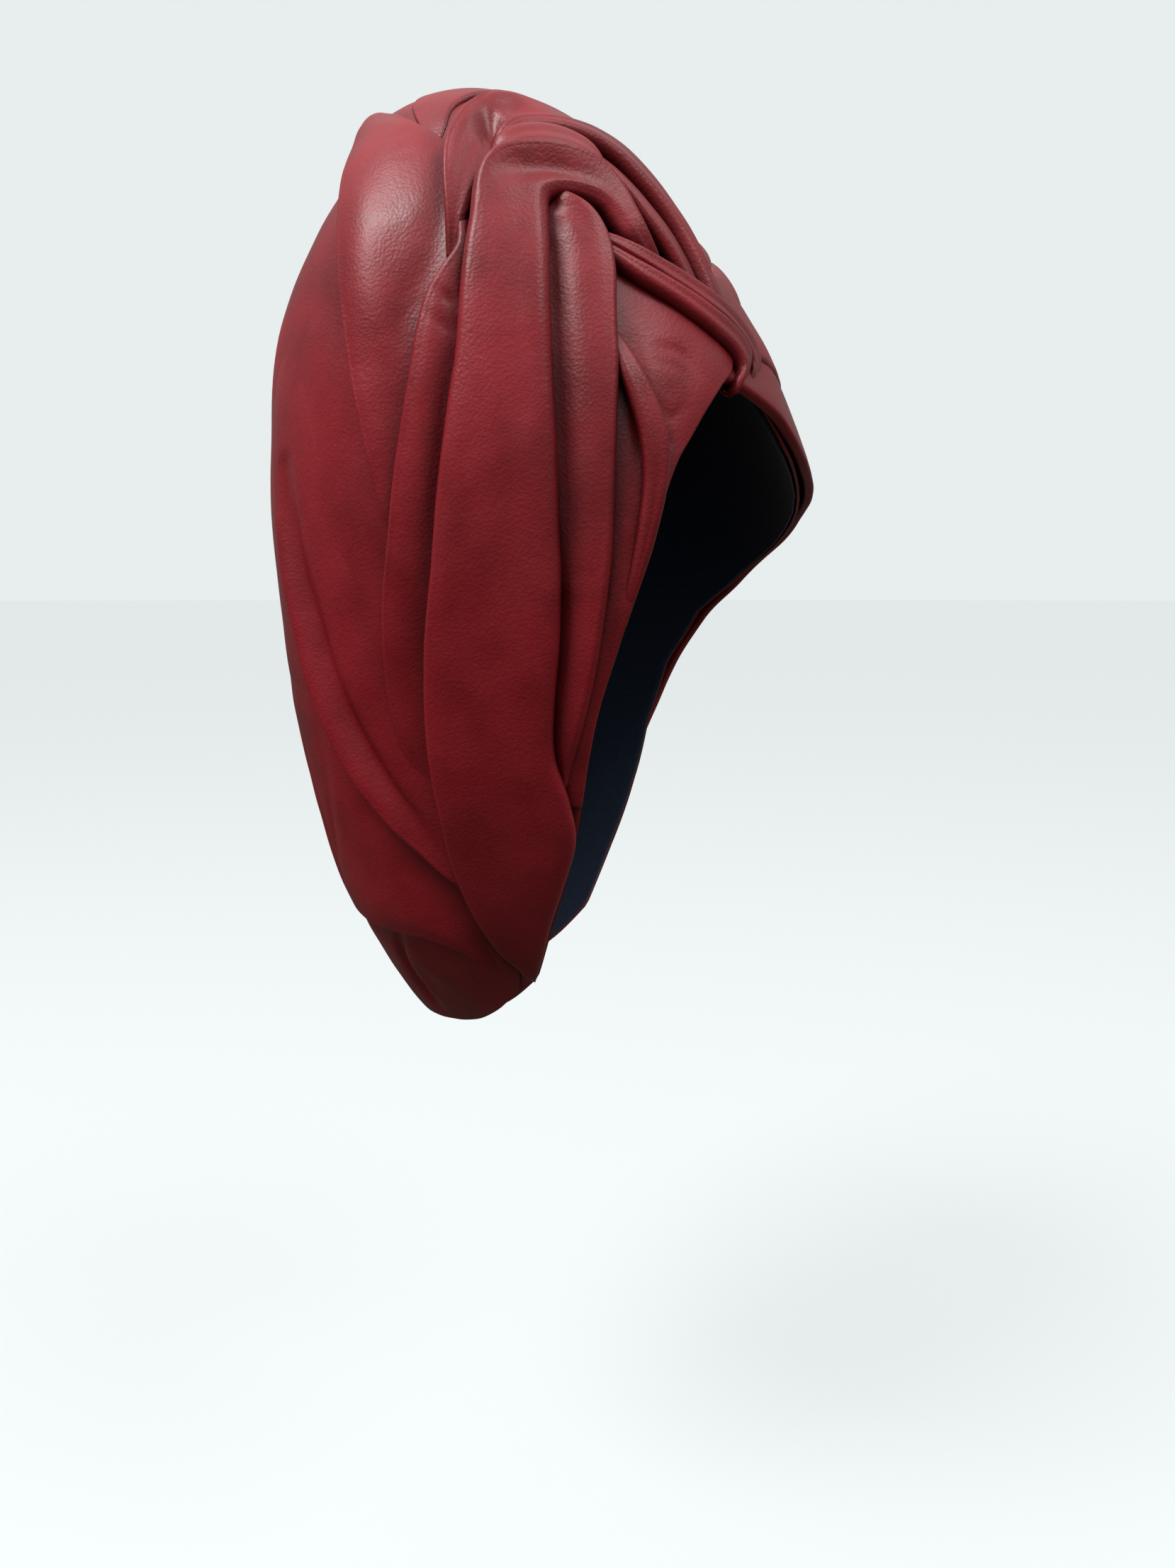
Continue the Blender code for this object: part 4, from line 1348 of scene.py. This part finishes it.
@dataclass
class LeftWrap(WrapPart):
    """Four pleats that rise from the nape on the left and cross the top, and three at the knot."""

    name: str = "crossing_pleats_left"
    nodes: tuple[str, ...] = ("left_wrap",)
    held: str = "gathered"
    rise: float = 7.4
    lap: float = 0.012
    names: tuple[str, ...] = ("rear", "second", "third", "front")
    table: Table = (
        # down and turn of the rear edge, down and turn of the front edge, lift
        (0.810, -91.5, 0.812, -96.0, 0.30),
        (0.760, -82.5, 0.765, -96.0, 0.60),
        (0.700, -74.0, 0.700, -96.0, 0.72),
        (0.640, -69.0, 0.640, -97.0, 0.80),
        (0.580, -67.0, 0.580, -100.0, 0.80),
        (0.520, -68.0, 0.520, -104.0, 0.80),
        (0.460, -70.0, 0.465, -110.0, 0.80),
        (0.400, -73.0, 0.415, -119.0, 0.80),
        (0.340, -78.0, 0.370, -132.0, 0.80),
        (0.300, -85.0, 0.345, -140.0, 0.80),
        (0.266, -100.0, 0.338, -158.0, 0.80),
        (0.252, -120.0, 0.350, -174.0, 0.76),
        (0.248, -145.0, 0.362, -188.0, 0.66),
        (0.254, -168.0, 0.370, -197.0, 0.42),
        (0.258, -184.0, 0.376, -205.0, 0.20),
        (0.263, -197.0, 0.378, -211.0, 0.04),
        (0.270, -204.0, 0.380, -215.0, -0.08),
    )
    crossing: tuple[Panel, ...] = (
        Panel(
            "outer_crossing_pleat",
            (
                # down, turn of the outer lip; down, turn of the inner lip; rise at each
                (0.262, 99.0, 0.264, 101.5, 2.6, 2.6),
                (0.244, 101.5, 0.253, 104.0, 4.2, 4.4),
                (0.231, 106.0, 0.245, 109.0, 5.0, 5.4),
                (0.225, 113.0, 0.242, 115.0, 5.4, 5.8),
                (0.222, 121.0, 0.243, 121.5, 5.6, 6.0),
                (0.223, 129.5, 0.247, 128.5, 5.6, 6.0),
                (0.228, 137.5, 0.254, 134.5, 5.6, 6.0),
                (0.241, 145.5, 0.266, 139.5, 5.6, 6.0),
                (0.262, 151.0, 0.282, 143.5, 5.6, 6.0),
                (0.288, 154.5, 0.300, 147.0, 5.6, 6.0),
                (0.318, 156.5, 0.321, 149.6, 5.4, 5.8),
                (0.347, 156.5, 0.346, 150.8, 4.6, 5.0),
                (0.372, 156.0, 0.370, 151.0, 3.0, 3.4),
                (0.390, 155.0, 0.388, 151.0, 0.6, 0.6),
            ),
            lip=2.2,
            tuck=3.0,
            spacing=0.9,
            waves=0.25,
            creases=(
                Crease(((0.237, 110.0), (0.232, 118.0), (0.232, 128.0), (0.240, 137.0)), 1.6, 1.1),
                Crease(((0.240, 137.0), (0.262, 145.5), (0.300, 152.0), (0.350, 154.0)), 1.6, 1.1),
            ),
        ),
        Panel(
            "middle_crossing_pleat",
            (
                # down, turn of the outer lip; down, turn of the inner lip; rise at each
                (0.252, 118.0, 0.276, 121.0, 2.4, 2.6),
                (0.250, 124.5, 0.279, 124.5, 4.2, 4.8),
                (0.255, 131.0, 0.285, 127.6, 5.0, 6.2),
                (0.266, 137.0, 0.296, 130.4, 5.2, 6.8),
                (0.282, 141.8, 0.309, 132.8, 5.2, 7.0),
                (0.300, 145.6, 0.324, 134.8, 5.0, 7.0),
                (0.320, 148.4, 0.339, 137.0, 4.8, 6.6),
                (0.343, 149.8, 0.354, 139.4, 4.0, 5.4),
                (0.365, 150.0, 0.370, 142.0, 2.6, 3.2),
                (0.383, 149.5, 0.385, 144.5, 0.6, 0.6),
            ),
            profile=((0.0, 0.70), (0.3, 0.84), (0.62, 1.0), (0.85, 1.06), (1.0, 0.92)),
            lip=2.2,
            tuck=3.0,
            spacing=0.9,
            waves=0.25,
        ),
        Panel(
            "inner_crossing_pleat",
            (
                # down, turn of the outer lip; down, turn of the inner lip; rise at each
                (0.274, 97.4, 0.286, 99.0, 4.0, 4.0),
                (0.2605, 99.6, 0.2815, 102.6, 6.6, 6.6),
                (0.2495, 104.2, 0.2785, 107.0, 7.6, 7.8),
                (0.2435, 110.4, 0.2775, 111.6, 7.8, 8.2),
                (0.2425, 117.0, 0.2785, 116.6, 7.8, 8.2),
                (0.2465, 123.2, 0.281, 121.4, 7.6, 8.0),
                (0.256, 128.0, 0.286, 125.4, 7.4, 7.4),
                (0.269, 130.6, 0.292, 128.0, 6.4, 6.2),
                (0.284, 131.6, 0.299, 129.6, 4.0, 4.0),
            ),
            profile=((0.0, 0.84), (0.25, 0.94), (0.5, 0.96), (0.8, 1.06), (1.0, 0.94)),
            lip=2.0,
            tuck=3.0,
            spacing=0.9,
            waves=0.25,
            creases=(
                Crease(((0.268, 101.5), (0.2695, 107.0), (0.269, 113.0)), 0.9, 1.1),
                Crease(((0.262, 124.0), (0.272, 127.0), (0.283, 129.0)), 0.8, 1.0),
            ),
        ),
    )

    def __post_init__(self) -> None:
        """Part the table into its pleats, after the three that cross over at the knot."""
        share = 1 / len(self.names)
        self.panels = self.crossing + tuple(
            Panel(
                f"{name}_pleat",
                between_edges(self.table, index * share, (index + 1) * share, self.rise, self.lap),
                profile=((0.0, 0.80), (0.25, 1.0), (0.5, 1.06), (0.75, 1.0), (1.0, 0.80)),
                lip=2.8,
                tuck=3.0,
                spacing=1.6,
                waves=0.5,
            )
            for index, name in enumerate(self.names)
        )


@dataclass
class LeftFrontArm(WrapPart):
    """Two narrow pleats under the knot, and the band that they run on as along the left opening."""

    name: str = "narrow_pleats_and_left_band"
    nodes: tuple[str, ...] = ("left_front_arm",)
    panels: tuple[Panel, ...] = (
        Panel(
            "upper_narrow_pleat",
            (
                # down, turn of the upper lip; down, turn of the lower lip; rise at each
                (0.332, 117.5, 0.340, 118.0, 2.4, 2.4),
                (0.3345, 122.0, 0.3445, 122.0, 4.6, 4.6),
                (0.342, 128.0, 0.3565, 128.5, 5.8, 5.8),
                (0.351, 134.0, 0.369, 136.0, 6.2, 6.0),
                (0.360, 141.0, 0.380, 144.0, 6.2, 6.0),
                (0.369, 149.0, 0.389, 150.5, 6.2, 5.8),
                (0.380, 156.5, 0.399, 154.5, 6.0, 5.4),
                (0.392, 161.5, 0.408, 155.5, 5.4, 4.8),
                (0.405, 162.0, 0.415, 154.5, 4.2, 3.8),
                (0.415, 160.0, 0.421, 153.5, 1.6, 1.6),
                (0.417, 159.0, 0.421, 153.0, -1.6, -1.6),
                (0.408, 158.0, 0.411, 152.5, -3.6, -3.6),
                (0.394, 158.0, 0.396, 152.0, -4.2, -4.2),
            ),
            lip=1.6,
            tuck=2.5,
            spacing=0.9,
            waves=0.25,
            creases=(Crease(((0.354, 131.0), (0.370, 141.0), (0.382, 151.0), (0.398, 158.0)), 1.0, 1.3),),
        ),
        Panel(
            "lower_narrow_pleat",
            (
                # down, turn of the upper lip; down, turn of the lower lip; rise at each
                (0.338, 117.5, 0.345, 117.5, 2.0, 2.0),
                (0.3435, 121.8, 0.352, 121.5, 3.8, 3.6),
                (0.355, 128.0, 0.3675, 128.0, 5.0, 4.8),
                (0.367, 135.5, 0.382, 136.0, 5.6, 5.2),
                (0.378, 143.0, 0.395, 143.0, 5.8, 5.2),
                (0.388, 149.5, 0.406, 148.0, 5.8, 5.0),
                (0.398, 153.5, 0.415, 149.0, 5.4, 4.6),
                (0.404, 155.0, 0.421, 147.5, 4.2, 3.8),
                (0.414, 153.5, 0.427, 146.5, 1.8, 1.6),
                (0.416, 152.5, 0.427, 146.0, -1.6, -1.6),
                (0.407, 151.5, 0.416, 145.5, -3.6, -3.6),
                (0.393, 151.0, 0.401, 145.0, -4.2, -4.2),
            ),
            lip=1.5,
            tuck=2.5,
            spacing=0.9,
            waves=0.25,
        ),
        Panel(
            "left_band_upper",
            (
                # down, turn of the upper lip; down, turn of the lower lip; rise at each
                (0.352, 148.0, 0.398, 146.0, 1.8, 1.8),
                (0.345, 157.0, 0.402, 154.0, 3.2, 3.6),
                (0.338, 168.0, 0.404, 163.0, 3.8, 4.6),
                (0.334, 180.0, 0.408, 174.0, 4.2, 4.8),
                (0.336, 192.0, 0.414, 186.0, 4.6, 4.8),
                (0.346, 206.0, 0.424, 200.0, 5.0, 5.0),
                (0.372, 224.0, 0.446, 218.0, 5.4, 5.4),
                (0.415, 238.0, 0.478, 234.0, 5.6, 5.6),
                (0.465, 248.0, 0.516, 246.0, 5.6, 5.6),
                (0.520, 254.0, 0.560, 253.5, 5.0, 5.0),
                (0.580, 258.5, 0.606, 258.3, 3.4, 3.4),
                (0.630, 261.5, 0.640, 261.4, 1.4, 1.4),
            ),
            lip=2.0,
            spacing=1.4,
            waves=0.5,
        ),
        Panel(
            "left_band_lower",
            (
                # down, turn of the upper lip; down, turn of the opening; rise at each
                (0.390, 149.0, 0.420, 145.0, 1.6, 1.6),
                (0.393, 156.0, 0.430, 153.0, 2.6, 3.0),
                (0.396, 164.0, 0.440, 160.5, 3.6, 3.8),
                (0.400, 175.0, 0.456, 170.0, 4.0, 4.2),
                (0.407, 187.0, 0.472, 182.0, 4.0, 4.4),
                (0.418, 201.0, 0.488, 196.0, 4.2, 4.6),
                (0.440, 218.5, 0.508, 214.0, 4.6, 4.8),
                (0.472, 234.0, 0.534, 232.0, 4.8, 4.8),
                (0.510, 246.0, 0.562, 244.5, 4.8, 4.8),
                (0.554, 253.5, 0.598, 253.0, 4.2, 4.2),
                (0.600, 258.3, 0.638, 258.0, 3.0, 3.0),
                (0.636, 261.4, 0.666, 260.6, 1.2, 1.2),
            ),
            lip=1.7,
            spacing=1.4,
            waves=0.5,
        ),
    )


@dataclass
class NapeWrap(WrapPart):
    """The gathered panels round the nape: an upper fold, the panel under it and the low hem."""

    name: str = "nape_panels"
    nodes: tuple[str, ...] = ("nape_wrap",)
    held: str = "gathered"
    panels: tuple[Panel, ...] = (
        Panel(
            "low_panel",
            (
                # down, turn of the upper edge; down, turn of the hem; rise at each
                (0.818, 92.0, 0.834, 92.5, 0.8, 0.8),
                (0.795, 86.5, 0.864, 87.0, 1.6, 2.6),
                (0.765, 78.0, 0.882, 78.0, 2.0, 3.6),
                (0.745, 66.0, 0.887, 66.0, 2.2, 4.0),
                (0.735, 52.0, 0.887, 52.0, 2.4, 4.2),
                (0.725, 36.0, 0.887, 36.0, 2.4, 4.2),
                (0.715, 18.0, 0.887, 18.0, 2.4, 4.0),
                (0.710, 0.0, 0.887, 0.0, 2.4, 3.8),
                (0.715, -18.0, 0.887, -18.0, 2.4, 4.0),
                (0.725, -36.0, 0.887, -36.0, 2.4, 4.2),
                (0.735, -52.0, 0.887, -52.0, 2.4, 4.2),
                (0.745, -66.0, 0.887, -66.0, 2.2, 4.0),
                (0.765, -78.0, 0.882, -78.0, 2.0, 3.6),
                (0.795, -86.5, 0.864, -87.0, 1.6, 2.6),
                (0.818, -92.0, 0.834, -92.5, 0.8, 0.8),
            ),
            first=Edge.TUCKED,
            lip=1.3,
            spacing=1.3,
            waves=0.8,
            creases=(
                Crease(((0.775, 54.0), (0.792, 51.5), (0.812, 50.0), (0.846, 52.0), (0.865, 55.0)), 3.4, 2.2),
                Crease(((0.786, 56.0), (0.812, 54.5), (0.846, 56.5)), -1.0, 2.6),
                Crease(((0.772, 26.0), (0.782, 36.0), (0.784, 46.0), (0.778, 54.0)), 3.6, 3.4),
                Crease(((0.785, 58.0), (0.810, 62.0), (0.835, 70.0)), -0.8, 4.0),
                Crease(((0.765, 18.0), (0.800, 20.0), (0.850, 23.0)), 2.4, 2.6),
                Crease(((0.760, -2.0), (0.810, -3.0), (0.860, 0.0)), 2.0, 2.2),
                Crease(((0.765, -22.0), (0.810, -20.0), (0.855, -24.0)), 2.6, 2.8),
                Crease(((0.775, -46.0), (0.810, -50.0), (0.855, -48.0)), 2.6, 2.4),
                Crease(((0.785, -64.0), (0.815, -66.0), (0.850, -62.0)), 1.8, 2.2),
            ),
        ),
        Panel(
            "middle_panel",
            (
                # down, turn under the upper fold; down, turn of the lower lip; rise at each
                (0.792, 88.0, 0.818, 88.5, 0.2, 1.0),
                (0.750, 82.0, 0.803, 84.0, -0.4, 3.2),
                (0.700, 73.0, 0.786, 77.0, -0.8, 4.6),
                (0.655, 62.0, 0.776, 68.0, -0.8, 5.0),
                (0.615, 50.0, 0.774, 57.0, -0.8, 5.2),
                (0.580, 36.0, 0.772, 43.0, -0.8, 5.0),
                (0.550, 20.0, 0.764, 28.0, -0.8, 4.4),
                (0.535, 2.0, 0.756, 10.0, -0.8, 4.0),
                (0.545, -16.0, 0.756, -10.0, -0.8, 4.0),
                (0.570, -34.0, 0.762, -30.0, -0.8, 4.4),
                (0.605, -50.0, 0.772, -48.0, -0.8, 4.8),
                (0.655, -64.0, 0.782, -64.0, -0.8, 4.8),
                (0.715, -76.0, 0.796, -75.5, -0.4, 4.0),
                (0.765, -84.0, 0.810, -84.0, 0.2, 2.4),
                (0.792, -87.5, 0.818, -88.0, 0.2, 0.8),
            ),
            profile=((0.0, 1.0), (0.3, 0.8), (0.6, 0.86), (0.86, 1.05), (1.0, 0.95)),
            first=Edge.TUCKED,
            lip=1.9,
            spacing=1.5,
            waves=0.6,
            creases=(
                Crease(((0.562, 36.0), (0.590, 40.0), (0.618, 42.5), (0.662, 41.5), (0.72, 34.0)), 2.6, 1.9),
                Crease(((0.580, 44.0), (0.640, 46.5), (0.70, 42.0)), -1.2, 2.6),
                Crease(((0.62, 49.0), (0.675, 57.0), (0.715, 66.0), (0.745, 76.0)), 1.8, 5.0),
                Crease(((0.60, 26.0), (0.67, 29.0), (0.75, 30.0)), 2.2, 2.6),
                Crease(((0.58, 8.0), (0.66, 12.0), (0.745, 12.0)), 2.6, 3.0),
                Crease(((0.58, -6.0), (0.66, -3.0), (0.745, -5.0)), 2.0, 2.4),
                Crease(((0.60, -22.0), (0.67, -18.0), (0.745, -20.0)), 2.6, 3.0),
                Crease(((0.62, -40.0), (0.69, -36.0), (0.75, -38.0)), 2.2, 2.6),
                Crease(((0.66, -56.0), (0.71, -53.0), (0.765, -55.0)), 2.0, 2.4),
            ),
        ),
        Panel(
            "upper_fold_right",
            (
                # down, turn of the upper edge; down, turn of the lip; rise at each
                (0.728, 86.5, 0.778, 87.0, 0.4, 1.0),
                (0.690, 83.0, 0.758, 83.8, 0.4, 3.6),
                (0.655, 78.0, 0.733, 79.3, 0.4, 4.8),
                (0.625, 72.5, 0.716, 73.8, 0.2, 5.4),
                (0.595, 69.0, 0.692, 66.8, 0.0, 6.0),
                (0.570, 67.0, 0.667, 60.8, -0.2, 6.2),
                (0.540, 66.0, 0.640, 56.0, -0.4, 6.2),
                (0.510, 65.5, 0.608, 51.5, -0.6, 6.0),
                (0.480, 65.0, 0.575, 48.0, -0.8, 5.6),
                (0.450, 64.0, 0.535, 45.0, -0.8, 4.8),
                (0.420, 62.0, 0.495, 42.0, -0.8, 3.6),
                (0.390, 58.0, 0.450, 39.0, -0.8, 2.0),
                (0.365, 53.0, 0.410, 37.5, -0.8, 0.4),
                (0.350, 48.0, 0.380, 38.0, -0.8, -0.8),
            ),
            profile=((0.0, 1.0), (0.3, 0.9), (0.6, 0.92), (0.84, 1.06), (1.0, 0.98)),
            first=Edge.TUCKED,
            lip=2.2,
            waves=0.5,
            creases=(
                Crease(
                    (
                        (0.47, 46.0),
                        (0.53, 50.0),
                        (0.60, 56.5),
                        (0.650, 63.5),
                        (0.695, 72.0),
                        (0.73, 80.0),
                    ),
                    3.4,
                    3.6,
                ),
                Crease(((0.50, 43.5), (0.570, 48.6), (0.632, 55.6), (0.685, 66.0)), -1.3, 2.6),
                Crease(((0.44, 56.0), (0.52, 61.0), (0.59, 66.0)), -1.0, 4.0),
            ),
        ),
        Panel(
            "upper_fold_left",
            (
                # down, turn of the upper edge; down, turn of the lip; rise at each
                (0.735, -87.5, 0.780, -88.0, 0.4, 0.8),
                (0.690, -84.0, 0.758, -83.0, 0.4, 3.2),
                (0.650, -80.0, 0.736, -76.0, 0.0, 4.8),
                (0.612, -76.0, 0.712, -69.0, -0.4, 5.4),
                (0.575, -73.0, 0.685, -61.0, -0.8, 5.6),
                (0.538, -71.0, 0.655, -53.0, -0.8, 5.4),
                (0.500, -69.0, 0.625, -46.0, -0.8, 5.0),
                (0.460, -67.0, 0.590, -39.5, -0.8, 4.4),
                (0.420, -64.0, 0.545, -34.0, -0.8, 3.4),
                (0.380, -59.0, 0.490, -30.0, -0.8, 2.0),
                (0.345, -52.0, 0.430, -28.0, -0.8, 0.4),
                (0.320, -46.0, 0.385, -29.0, -0.8, -0.8),
            ),
            profile=((0.0, 1.0), (0.3, 0.9), (0.6, 0.92), (0.84, 1.06), (1.0, 0.98)),
            first=Edge.TUCKED,
            lip=2.2,
            spacing=1.5,
            waves=0.5,
        ),
    )


# The studio


@dataclass(frozen=True)
class SoftBox:
    """A square soft light that faces the wrap. Its place and side are in metres."""

    name: str
    spot: Place
    side: float
    watts: float
    aim: Place = (0.0, 0.0, -0.10)

    def hang(self) -> None:
        """Add the light to the scene."""
        bpy.ops.object.light_add(type="AREA", location=self.spot)
        lamp = bpy.context.active_object
        lamp.name = self.name
        lamp.data.size = self.side
        lamp.data.energy = self.watts
        way = Vector(self.aim) - Vector(self.spot)
        lamp.rotation_euler = way.to_track_quat("-Z", "Y").to_euler()


@dataclass
class Studio:
    """A pale floor inside a far pale wall, light from all round, two soft boxes and the camera."""

    floor_level: float = -0.447
    floor_half: float = 40.0
    reach: float = 38.0
    camera_at: Place = (-0.44316, -0.09214, -0.1399)
    camera_way: Place = (0.97992, 0.14514, -0.13670)
    lens: float = 32.55
    wall: str = "E8EDED"
    ground: str = "5D5450"
    side: float = 0.32
    ceiling: float = 1.15
    boxes: tuple[SoftBox, ...] = (
        SoftBox("rear_softbox", (-0.72, 0.62, 1.15), 0.6, 21.0),
        SoftBox("front_softbox", (-0.45, -0.80, 1.15), 0.6, 7.0),
    )

    def build(self) -> None:
        """Build the floor, the wall, the lights and the camera."""
        self._backdrop()
        self._surround()
        for box in self.boxes:
            box.hang()
        self._camera()

    def _pale(self, tone: float) -> tuple[float, float, float, float]:
        """Give the wall's colour, made lighter or darker by a factor."""
        return (*(part * tone for part in linear(self.wall)[:3]), 1.0)

    def _paper(self, name: str, tone: float, glow: float) -> bpy.types.Material:
        """Make matt pale paper.

        Args:
            name: Its name.
            tone: How much light it sends back.
            glow: How much light it gives of its own.

        Returns:
            The material.
        """
        material = bpy.data.materials.new(name)
        material.use_nodes = True
        shader = material.node_tree.nodes["Principled BSDF"]
        shader.inputs["Base Color"].default_value = self._pale(tone)
        shader.inputs["Roughness"].default_value = 1.0
        shader.inputs["Specular IOR Level"].default_value = 0.0
        shader.inputs["Emission Color"].default_value = self._pale(1.0)
        shader.inputs["Emission Strength"].default_value = glow
        return material

    def _backdrop(self) -> None:
        """Lay a pale paper floor inside a far pale wall. Neither throws light on the wrap."""
        bpy.ops.object.select_all(action="DESELECT")
        bpy.ops.mesh.primitive_plane_add(size=2 * self.floor_half, location=(0, 0, self.floor_level))
        bpy.ops.object.transform_apply(location=True, rotation=False, scale=False)
        floor = bpy.context.active_object
        floor.name = "paper_floor"
        floor.data.materials.append(self._paper("matt_pale_paper", 0.34, 0.72))
        bpy.ops.mesh.primitive_uv_sphere_add(segments=48, ring_count=24, radius=self.reach)
        wall = bpy.context.active_object
        wall.name = "pale_wall"
        wall.data.materials.append(self._paper("matt_pale_wall", 0.0, 1.0))
        for piece in (floor, wall):
            piece.visible_diffuse = False
            piece.visible_glossy = False
        wall.visible_shadow = False

    def _surround(self) -> None:
        """Light the wrap with dim pale walls all round, a bright ceiling and a dark ground."""
        world = bpy.data.worlds.new("pale_surround")
        world.use_nodes = True
        tree = world.node_tree
        tree.nodes.clear()
        way = add_node(tree, "ShaderNodeTexCoord").outputs["Generated"]
        high = add_node(tree, "ShaderNodeSeparateXYZ", {"Vector": way}).outputs["Z"]
        up = add_node(tree, "ShaderNodeMapRange", {"Value": high, "From Min": -1.0, "From Max": 1.0})
        ramp = add_node(tree, "ShaderNodeValToRGB", {"Fac": up.outputs[0]})
        stops = ramp.color_ramp.elements
        stops[0].position, stops[0].color = 0.46, linear(self.ground)
        stops[1].position, stops[1].color = 0.92, self._pale(self.ceiling)
        for place in (0.50, 0.68):
            stops.new(place).color = self._pale(self.side)
        back = add_node(tree, "ShaderNodeBackground", {"Color": ramp.outputs["Color"], "Strength": 1.0})
        add_node(tree, "ShaderNodeOutputWorld", {"Surface": back.outputs[0]})
        bpy.context.scene.world = world
        bpy.context.scene.view_settings.view_transform = "Standard"

    def _camera(self) -> None:
        """Set the camera where the photograph was taken from."""
        bpy.ops.object.camera_add(location=self.camera_at)
        camera = bpy.context.active_object
        camera.rotation_euler = Vector(self.camera_way).to_track_quat("-Z", "Y").to_euler()
        camera.data.lens = self.lens
        camera.data.sensor_width = 36.0
        camera.data.clip_start = 0.01
        bpy.context.scene.camera = camera


def main() -> None:
    """Build the wrap part by part, then the studio."""
    logging.basicConfig(level=logging.INFO, format="%(message)s")
    red = NappaLeather("burgundy_nappa_leather", light="921A24", body="86161F", deep="741118").make()
    cotton = LiningCotton().make()
    CapAndLining(red, cotton).build()
    for kind in (
        NapeWrap,
        CrownFolds,
        LeftWrap,
        LeftFrontArm,
        RightFrontBand,
        RightBackFold,
        TopTwist,
        RightWrap,
    ):
        kind(red).build()
    Studio().build()


if __name__ == "__main__":
    main()
